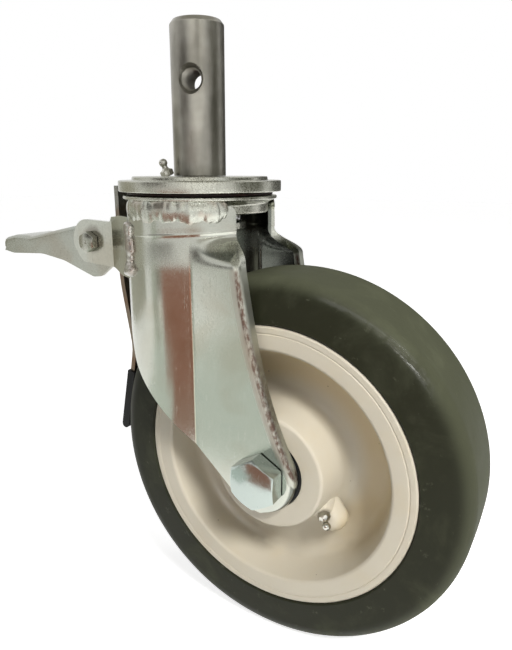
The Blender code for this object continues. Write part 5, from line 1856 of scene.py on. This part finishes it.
    def lever(self) -> None:
        """Pedal lever: a channel whose web runs over the top and round the toe.

        Each row takes a point T on the top line and B on the bottom line. The section goes
        up the near wall from B, round a quarter circle into the web at T, and down again.
        """
        top = np.array([(13.0, 3.0, 0.0), (13.0, 11.2, 7.0), (-22.0, 10.0, 20.0),
                        (-74.5, -1.0, 12.0), (-81.0, -0.4, 4.0), (-92.0, -0.6, 12.0),
                        (-106.5, -4.0, 6.0), (-106.5, -11.0, 3.0)]) * MM
        low = np.array([(13.2, -18.0, 0.0), (2.0, -26.5, 5.0), (-6.0, -27.5, 8.0),
                        (-36.0, -17.3, 22.0), (-60.0, -13.6, 40.0), (-94.0, -15.4, 8.0),
                        (-105.0, -13.6, 3.0)]) * MM
        share = np.linspace(0.0, 1.0, 110)
        web, foot = (self.paced(softened(line, 8, False), share) for line in (top, low))
        slope = np.gradient(web, axis=0)
        normal = np.stack([slope[:, 1], -slope[:, 0]], axis=1)
        normal /= np.linalg.norm(normal, axis=1)[:, None]
        grids = [self.channel(web, foot, normal, inset) for inset in (0.0, self.lever_sheet)]
        blank = sheet_mesh("pedal_lever", grids[0], grids[1], 30.0)
        hole = crossbar("bush_hole", self.bush_hole, PLACE.pivot, 40.0 * MM)
        lever = cut(blank, [hole], 30.0)
        self.add(lever, "pedal", "zinc_plate", self.finishes.lever, "brake_lever", edge=0.45 * MM)

    def paced(self, line: np.ndarray, share: np.ndarray) -> np.ndarray:
        """Points at even shares of a line's length.

        Args:
            line: points of the line.
            share: shares of its length.

        Returns:
            The points.
        """
        length = np.concatenate([[0.0], np.cumsum(np.linalg.norm(np.diff(line, axis=0), axis=1))])
        return np.stack([np.interp(share * length[-1], length, line[:, axis]) for axis in (0, 1)],
                        axis=1)

    def channel(self, web: np.ndarray, foot: np.ndarray, normal: np.ndarray,
                inset: float) -> np.ndarray:
        """Grid of the channel's section carried along the lever.

        Args:
            web: points on the top line.
            foot: points on the bottom line.
            normal: outward directions of the top line.
            inset: how far this face lies inside the outer one.

        Returns:
            The grid, in place.
        """
        half = self.lever_half - inset
        curve = max(self.lever_round - inset, 0.4 * MM)
        crown = web - inset * normal
        knee = crown - curve * normal
        rise = np.linspace(0.0, 1.0, 6)
        wall = foot[:, None] + (knee - foot)[:, None] * rise[None, :, None]
        quarter = np.linspace(0.0, math.pi / 2.0, 6)[1:]
        bend = knee[:, None] + curve * np.sin(quarter)[None, :, None] * normal[:, None]
        flat = np.linspace(-1.0, 1.0, 9)[1:-1] * (half - curve)
        sides = np.concatenate([np.full(6, -half), -(half - curve) - curve * np.cos(quarter)])
        columns = np.concatenate([wall, bend, np.repeat(crown[:, None], 7, axis=1),
                                  bend[:, ::-1], wall[:, ::-1]], axis=1)
        across = np.concatenate([sides, flat, -sides[::-1]])
        return joined(columns[..., 0], across, columns[..., 1]) + PLACE.pivot

    def build(self) -> None:
        """Build every piece of the brake."""
        self.cheeks()
        self.lever()
        self.pivot_set.build(self, PLACE.pivot, self.cheek_inner + self.cheek_sheet + PLACE.gap,
                             self.finishes.lever, self.finishes.bolts)
        self.dress(self.finishes.hard, "lever_bush")
        self.dress(self.finishes.leaf, "brake_leaf")
        self.dress(self.finishes.rubber, "brake_shoe")
        self.round_edges(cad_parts["brake_leaf"], 0.4 * MM, steps=2)


# Wheel

def mirrored(side: list[tuple], *middle: tuple) -> list[tuple]:
    """Corners of an outline that is the same on both sides of its middle.

    Args:
        side: (radius, height, rounding) corners of the upper half.
        middle: corners on the middle itself.

    Returns:
        All the corners.
    """
    return [*side, *middle, *((reach, -level, rounding) for reach, level, rounding in side[::-1])]


@dataclass
class Wheel(Assembly):
    """Cast core, solid tyre, seals, nipple and axle."""

    tyre_half: float = 33.0 * MM
    tread_half: float = 19.5 * MM
    shoulder: float = 12.0 * MM
    core_radius: float = 96.1 * MM
    rim_inner: float = 80.4 * MM
    rim_line: float = 91.2 * MM
    web_half: float = 5.5 * MM
    hub_half: float = 37.5 * MM
    hub_face: float = 38.6 * MM
    counterbore: float = 24.6 * MM
    boss_angle: float = math.radians(-38)
    boss_reach: float = 43.8 * MM
    boss_face: float = 23.5 * MM
    boss_tilt: float = 1.0
    lump_angle: float = math.radians(-41)
    lump_reach: float = 59.5 * MM
    lump_face: float = 15.0 * MM
    lump_tilt: float = 0.18
    seal_bore: float = 19.6 * MM
    axle_set: BoltSet = BoltSet(
        "axle", flats=30.0 * MM, head=12.5 * MM, shank_radius=10.0 * MM, bore=10.3 * MM,
        washer_radius=18.5 * MM, washer_thickness=3.0 * MM, nut_height=16.0 * MM, tail=3.0 * MM)

    def about_axle(self, name: str, outline: np.ndarray) -> bpy.types.Mesh:
        """Turn a closed outline about the axle.

        Args:
            name: the mesh's name.
            outline: points of radius and distance from the middle plane.

        Returns:
            The mesh.
        """
        return surface_mesh(name, set_in(turned(outline, 192), PLACE.axle, Facing.FAR_SIDE))

    def on_web(self, angle: float, reach: float, face: float,
               tilt: float) -> tuple[np.ndarray, np.ndarray]:
        """Place over the near side of the dish, and the way a piece there leans.

        Args:
            angle: angle about the axle, up from +X.
            reach: distance from the axle.
            face: distance from the middle plane.
            tilt: how much the piece leans to the near side, for each part outwards.

        Returns:
            The place and the direction.
        """
        away = np.array([math.cos(angle), 0.0, math.sin(angle)])
        axis = away - [0.0, tilt, 0.0]
        return PLACE.axle + away * reach - [0.0, face, 0.0], axis / np.linalg.norm(axis)

    def core(self) -> None:
        """Turn the core and set the nipple's boss into its dish."""
        floor = self.hub_half - 3.5 * MM
        line = self.rim_line
        side = [(19.3 * MM, floor, 0.0), (self.counterbore, floor, 0.0),
                (self.counterbore, self.hub_half, 0.5 * MM),
                (self.hub_face, self.hub_half, 2.6 * MM),
                (43.9 * MM, self.web_half, 9.0 * MM), (74.8 * MM, self.web_half, 9.0 * MM),
                (self.rim_inner, self.tyre_half, 2.6 * MM),
                (line - 0.6 * MM, self.tyre_half, 0.3 * MM),
                (line, self.tyre_half - 0.5 * MM, 0.2 * MM),
                (line + 0.6 * MM, self.tyre_half, 0.3 * MM),
                (self.core_radius - 1.1 * MM, self.tyre_half, 0.5 * MM),
                (self.core_radius, self.tyre_half - 1.1 * MM, 0.3 * MM)]
        self.add(self.about_axle("cast_core", softened(mirrored(side), 8)), "wheel",
                 "cream_paint", self.finishes.cream, "wheel_core", "wheel_web", "wheel_rim")
        where, axis = self.on_web(self.boss_angle, self.boss_reach, self.boss_face, self.boss_tilt)
        boss = softened([(0.0, 0.0, 0.0), (5.6 * MM, 0.0, 2.4 * MM), (9.0 * MM, -5.0 * MM, 4.0 * MM),
                         (12.0 * MM, -14.0 * MM, 0.0)], 6, False)[1:]
        end, lump_axis = self.on_web(self.lump_angle, self.lump_reach, self.lump_face,
                                     self.lump_tilt)
        lump = softened([(0.0, 0.0, 0.0), (8.4 * MM, 0.0, 8.2 * MM),
                         (10.5 * MM, -22.0 * MM, 0.0)], 10, False)[1:]
        for name, outline, place, way in (("nipple_boss", boss, where, axis),
                                          ("boss_lump", lump, end, lump_axis)):
            stub = set_in(turned(outline, 64, endless=False), place, facing_along(way))
            self.add(surface_mesh(name, stub), "wheel", "cream_paint", self.finishes.cream)
        nipple = set_in(nipple_surface(), where + axis * PLACE.gap, facing_along(axis))
        self.add(surface_mesh("hub_nipple", nipple), "wheel", "nipple_steel", self.finishes.nipple,
                 "hub_grease_nipple")

    def tyre(self) -> None:
        """Turn the solid tyre, with round shoulders and a faint crown."""
        bore = self.core_radius + PLACE.gap
        crown = PLACE.wheel_radius - 0.57 * MM
        side = [(bore, self.tyre_half - 1.1 * MM, 0.0), (bore + 1.0 * MM, self.tyre_half, 0.6 * MM),
                (crown - self.shoulder, self.tread_half + self.shoulder, 30.0 * MM),
                (crown, self.tread_half + self.shoulder - 1.0 * MM, self.shoulder)]
        outline = softened(mirrored(side, (PLACE.wheel_radius - 0.07 * MM, 0.0, 300.0 * MM)), 10)
        self.add(self.about_axle("solid_tyre", outline), "wheel", "tyre_rubber", self.finishes.tyre,
                 "tyre")

    def axle(self) -> None:
        """Axle bolt, washer and nut outside the legs, and the seals between."""
        self.axle_set.build(self, PLACE.axle, PLACE.leg_plane + PLACE.gap, self.finishes.bolts,
                            self.finishes.bolts)
        low, high = self.hub_half - 3.2 * MM, self.hub_half - 0.4 * MM
        rim = self.counterbore - PLACE.gap
        for facing, side in ((Facing.NEAR_SIDE, "near"), (Facing.FAR_SIDE, "far")):
            seal = turned(softened([(self.seal_bore, low, 0.2 * MM), (rim, low, 0.2 * MM),
                                    (rim, high, 0.3 * MM), (self.seal_bore, high, 0.3 * MM)]), 96)
            self.add(surface_mesh("hub_lip_seal_" + side, set_in(seal, PLACE.axle, facing)),
                     "wheel", "black_rubber", self.finishes.rubber, "hub_seal_" + side)
        self.dress(self.finishes.rubber, "thrust_washer_near", "thrust_washer_far")
        self.dress(self.finishes.hard, "roller_bearing", "axle_sleeve")

    def build(self) -> None:
        """Build every piece of the wheel and its axle."""
        self.core()
        self.tyre()
        self.axle()


# Studio

@dataclass(frozen=True)
class Card:
    """Glowing card that only reflections see, for the bands that bright metal shows.

    Sizes are in metres, and the card faces its aim.
    """

    name: str
    where: tuple
    aim: tuple
    width: float
    height: float
    colour: tuple

    def build(self) -> None:
        """Put the card in the studio."""
        corners = np.array([[-self.width, -self.height, 0.0], [self.width, -self.height, 0.0],
                            [self.width, self.height, 0.0], [-self.width, self.height, 0.0]]) / 2.0
        way = Vector(self.aim) - Vector(self.where)
        turn = np.array(way.to_track_quat("Z", "Y").to_matrix())
        shader = Shader(self.name)
        glow = shader.node("ShaderNodeEmission", {}, {"Color": (*self.colour, 1.0)})
        shader.give(shader.output.inputs["Surface"], glow.outputs[0])
        card = staged_face(self.name, corners @ turn.T + np.array(self.where), shader.material)
        card.visible_camera = False
        card.visible_diffuse = False
        card.visible_shadow = False
        card.visible_transmission = False


@dataclass(frozen=True)
class Lamp:
    """Soft square lamp, with its side in metres and its power in watts."""

    name: str
    where: tuple
    aim: tuple
    side: float
    power: float
    mirrored: bool = True

    def build(self) -> None:
        """Hang the lamp."""
        data = bpy.data.lights.new(self.name, "AREA")
        data.shape = "SQUARE"
        data.size = self.side
        data.energy = self.power
        lamp = bpy.data.objects.new(self.name, data)
        lamp.location = self.where
        way = Vector(self.aim) - Vector(self.where)
        lamp.rotation_euler = way.to_track_quat("-Z", "Y").to_euler()
        lamp.visible_glossy = self.mirrored
        bpy.context.scene.collection.objects.link(lamp)


def staged_face(name: str, corners: np.ndarray, material: bpy.types.Material) -> bpy.types.Object:
    """One flat face that belongs to the studio and not to the castor.

    Args:
        name: its name.
        corners: its four corners.
        material: its material.

    Returns:
        The object.
    """
    mesh = bpy.data.meshes.new(name)
    mesh.from_pydata(corners.tolist(), [], [(0, 1, 2, 3)])
    mesh.materials.append(material)
    face = bpy.data.objects.new(name, mesh)
    bpy.context.scene.collection.objects.link(face)
    return face


FLOOR_LEVEL = PLACE.axle_z - PLACE.wheel_radius - 0.2 * MM
MIDDLE = (0.02, 0.0, -0.2)

LAMPS = (
    Lamp("key", (0.83, -0.58, 0.62), MIDDLE, 0.30, 17.0, mirrored=False),
    Lamp("top", (0.3, 0.2, 0.9), MIDDLE, 0.9, 4.0),
)

CARDS = (
    Card("room_low", (-0.0175, -0.50, -0.30), (-0.0175, 0.0, -0.30), 0.435, 0.22,
         (0.42, 0.20, 0.14)),
    Card("room_edge", (-0.285, -0.50, -0.245), (-0.285, 0.0, -0.245), 0.09, 0.11,
         (0.34, 0.31, 0.26)),
    Card("room_high", (-0.36, -0.55, 0.05), (-0.36, 0.0, 0.05), 0.56, 0.30, (0.12, 0.11, 0.10)),
    Card("room_above", (0.40, -0.60, 0.20), (0.0, 0.0, 0.0), 0.7, 0.28, (0.42, 0.40, 0.35)),
    Card("window", (0.50, -0.74, 0.25), (0.153, -0.03, -0.185), 0.26, 0.30, (18.0, 18.0, 17.4)),
    Card("ceiling", (0.1, 0.0, 0.8), (0.1, 0.0, 0.0), 1.5, 1.5, (0.40, 0.39, 0.34)),
    Card("red_floor", (0.02, -0.40, FLOOR_LEVEL + 2.0 * MM), (0.02, -0.40, 0.0), 0.26, 0.20,
         (0.42, 0.24, 0.18)),
    Card("room_left", (-0.60, -0.09, -0.17), (0.0, -0.09, -0.17), 0.54, 0.34, (0.52, 0.51, 0.43)),
    Card("blue_floor", (-0.27, -0.42, FLOOR_LEVEL + 1.0 * MM), (-0.27, -0.42, 0.0), 0.34, 0.44,
         (0.84, 0.92, 0.86)),
    Card("room_west", (-0.395, -0.50, -0.268), (-0.395, 0.0, -0.268), 0.14, 0.275,
         (0.60, 0.63, 0.56)),
    Card("room_right", (0.85, 0.25, 0.0), MIDDLE, 0.8, 0.9, (0.17, 0.17, 0.14)),
    Card("room_behind", (0.1, 0.9, 0.0), MIDDLE, 0.9, 0.9, (0.12, 0.12, 0.11)),
)


@dataclass
class Studio:
    """Camera, floor, lamps and backdrop."""

    eye: tuple = (232.74 * MM, -332.98 * MM, -91.84 * MM)
    turn: tuple = (math.radians(74.88), math.radians(0.05), math.radians(30.09))
    lens: float = 31.994
    sensor: float = 36.0
    shift: tuple = (0.0078, 0.0025)
    floor_reach: float = 6.0
    floor_glow: float = 0.78
    world_light: float = 0.17

    def camera(self) -> None:
        """Camera at the photograph's viewpoint."""
        data = bpy.data.cameras.new("photo_camera")
        data.lens = self.lens
        data.sensor_width = self.sensor
        data.shift_x, data.shift_y = self.shift
        data.clip_start = 0.01
        camera = bpy.data.objects.new("photo_camera", data)
        camera.location = self.eye
        camera.rotation_euler = self.turn
        bpy.context.scene.collection.objects.link(camera)
        bpy.context.scene.camera = camera

    def floor(self) -> None:
        """Plain pale floor that keeps the castor's shadow."""
        corners = np.array([[-1.0, -1.0, 0.0], [1.0, -1.0, 0.0], [1.0, 1.0, 0.0],
                            [-1.0, 1.0, 0.0]]) * self.floor_reach
        corners[:, 2] = FLOOR_LEVEL
        shader = Shader("pale_floor")
        shader.feed("Base Color", (0.86, 0.86, 0.85, 1.0))
        shader.feed("Roughness", 0.9)
        rays = shader.node("ShaderNodeLightPath").outputs
        seen = Value(shader, rays["Is Camera Ray"]) + Value(shader, rays["Is Glossy Ray"])
        glow = shader.node("ShaderNodeEmission", {}, {"Strength": seen * self.floor_glow})
        both = shader.node("ShaderNodeAddShader", {}, {0: shader.surface.outputs[0],
                                                       1: glow.outputs[0]})
        shader.give(shader.output.inputs["Surface"], both.outputs[0])
        staged_face("floor", corners, shader.material)

    def world(self) -> None:
        """White backdrop for the camera and for reflections, and soft light for the rest."""
        world = bpy.data.worlds.new("backdrop")
        world.use_nodes = True
        nodes = Nodes(world.node_tree)
        rays = nodes.node("ShaderNodeLightPath").outputs
        seen = Value(nodes, rays["Is Camera Ray"])
        for kind in ("Is Transmission Ray", "Is Glossy Ray"):
            seen = seen.at_least(Value(nodes, rays[kind]))
        strength = seen * (1.0 - self.world_light) + self.world_light
        back = nodes.node("ShaderNodeBackground", {}, {"Color": (1.0, 1.0, 1.0, 1.0),
                                                       "Strength": strength})
        nodes.node("ShaderNodeOutputWorld", {}, {"Surface": back.outputs[0]})
        bpy.context.scene.world = world

    def build(self) -> None:
        """Set up the whole studio."""
        bpy.context.scene.view_settings.view_transform = "Standard"
        self.camera()
        self.floor()
        self.world()
        for item in (*LAMPS, *CARDS):
            item.build()


def main() -> None:
    """Build the castor's looks, then the studio."""
    logging.basicConfig(level=logging.INFO, format="%(name)s: %(message)s")
    finishes = Finishes()
    legs = ForkLegs(finishes)
    SwivelHead(finishes).build()
    legs.build()
    Brake(finishes, legs).build()
    Wheel(finishes).build()
    Studio().build()


if __name__ == "__main__":
    main()
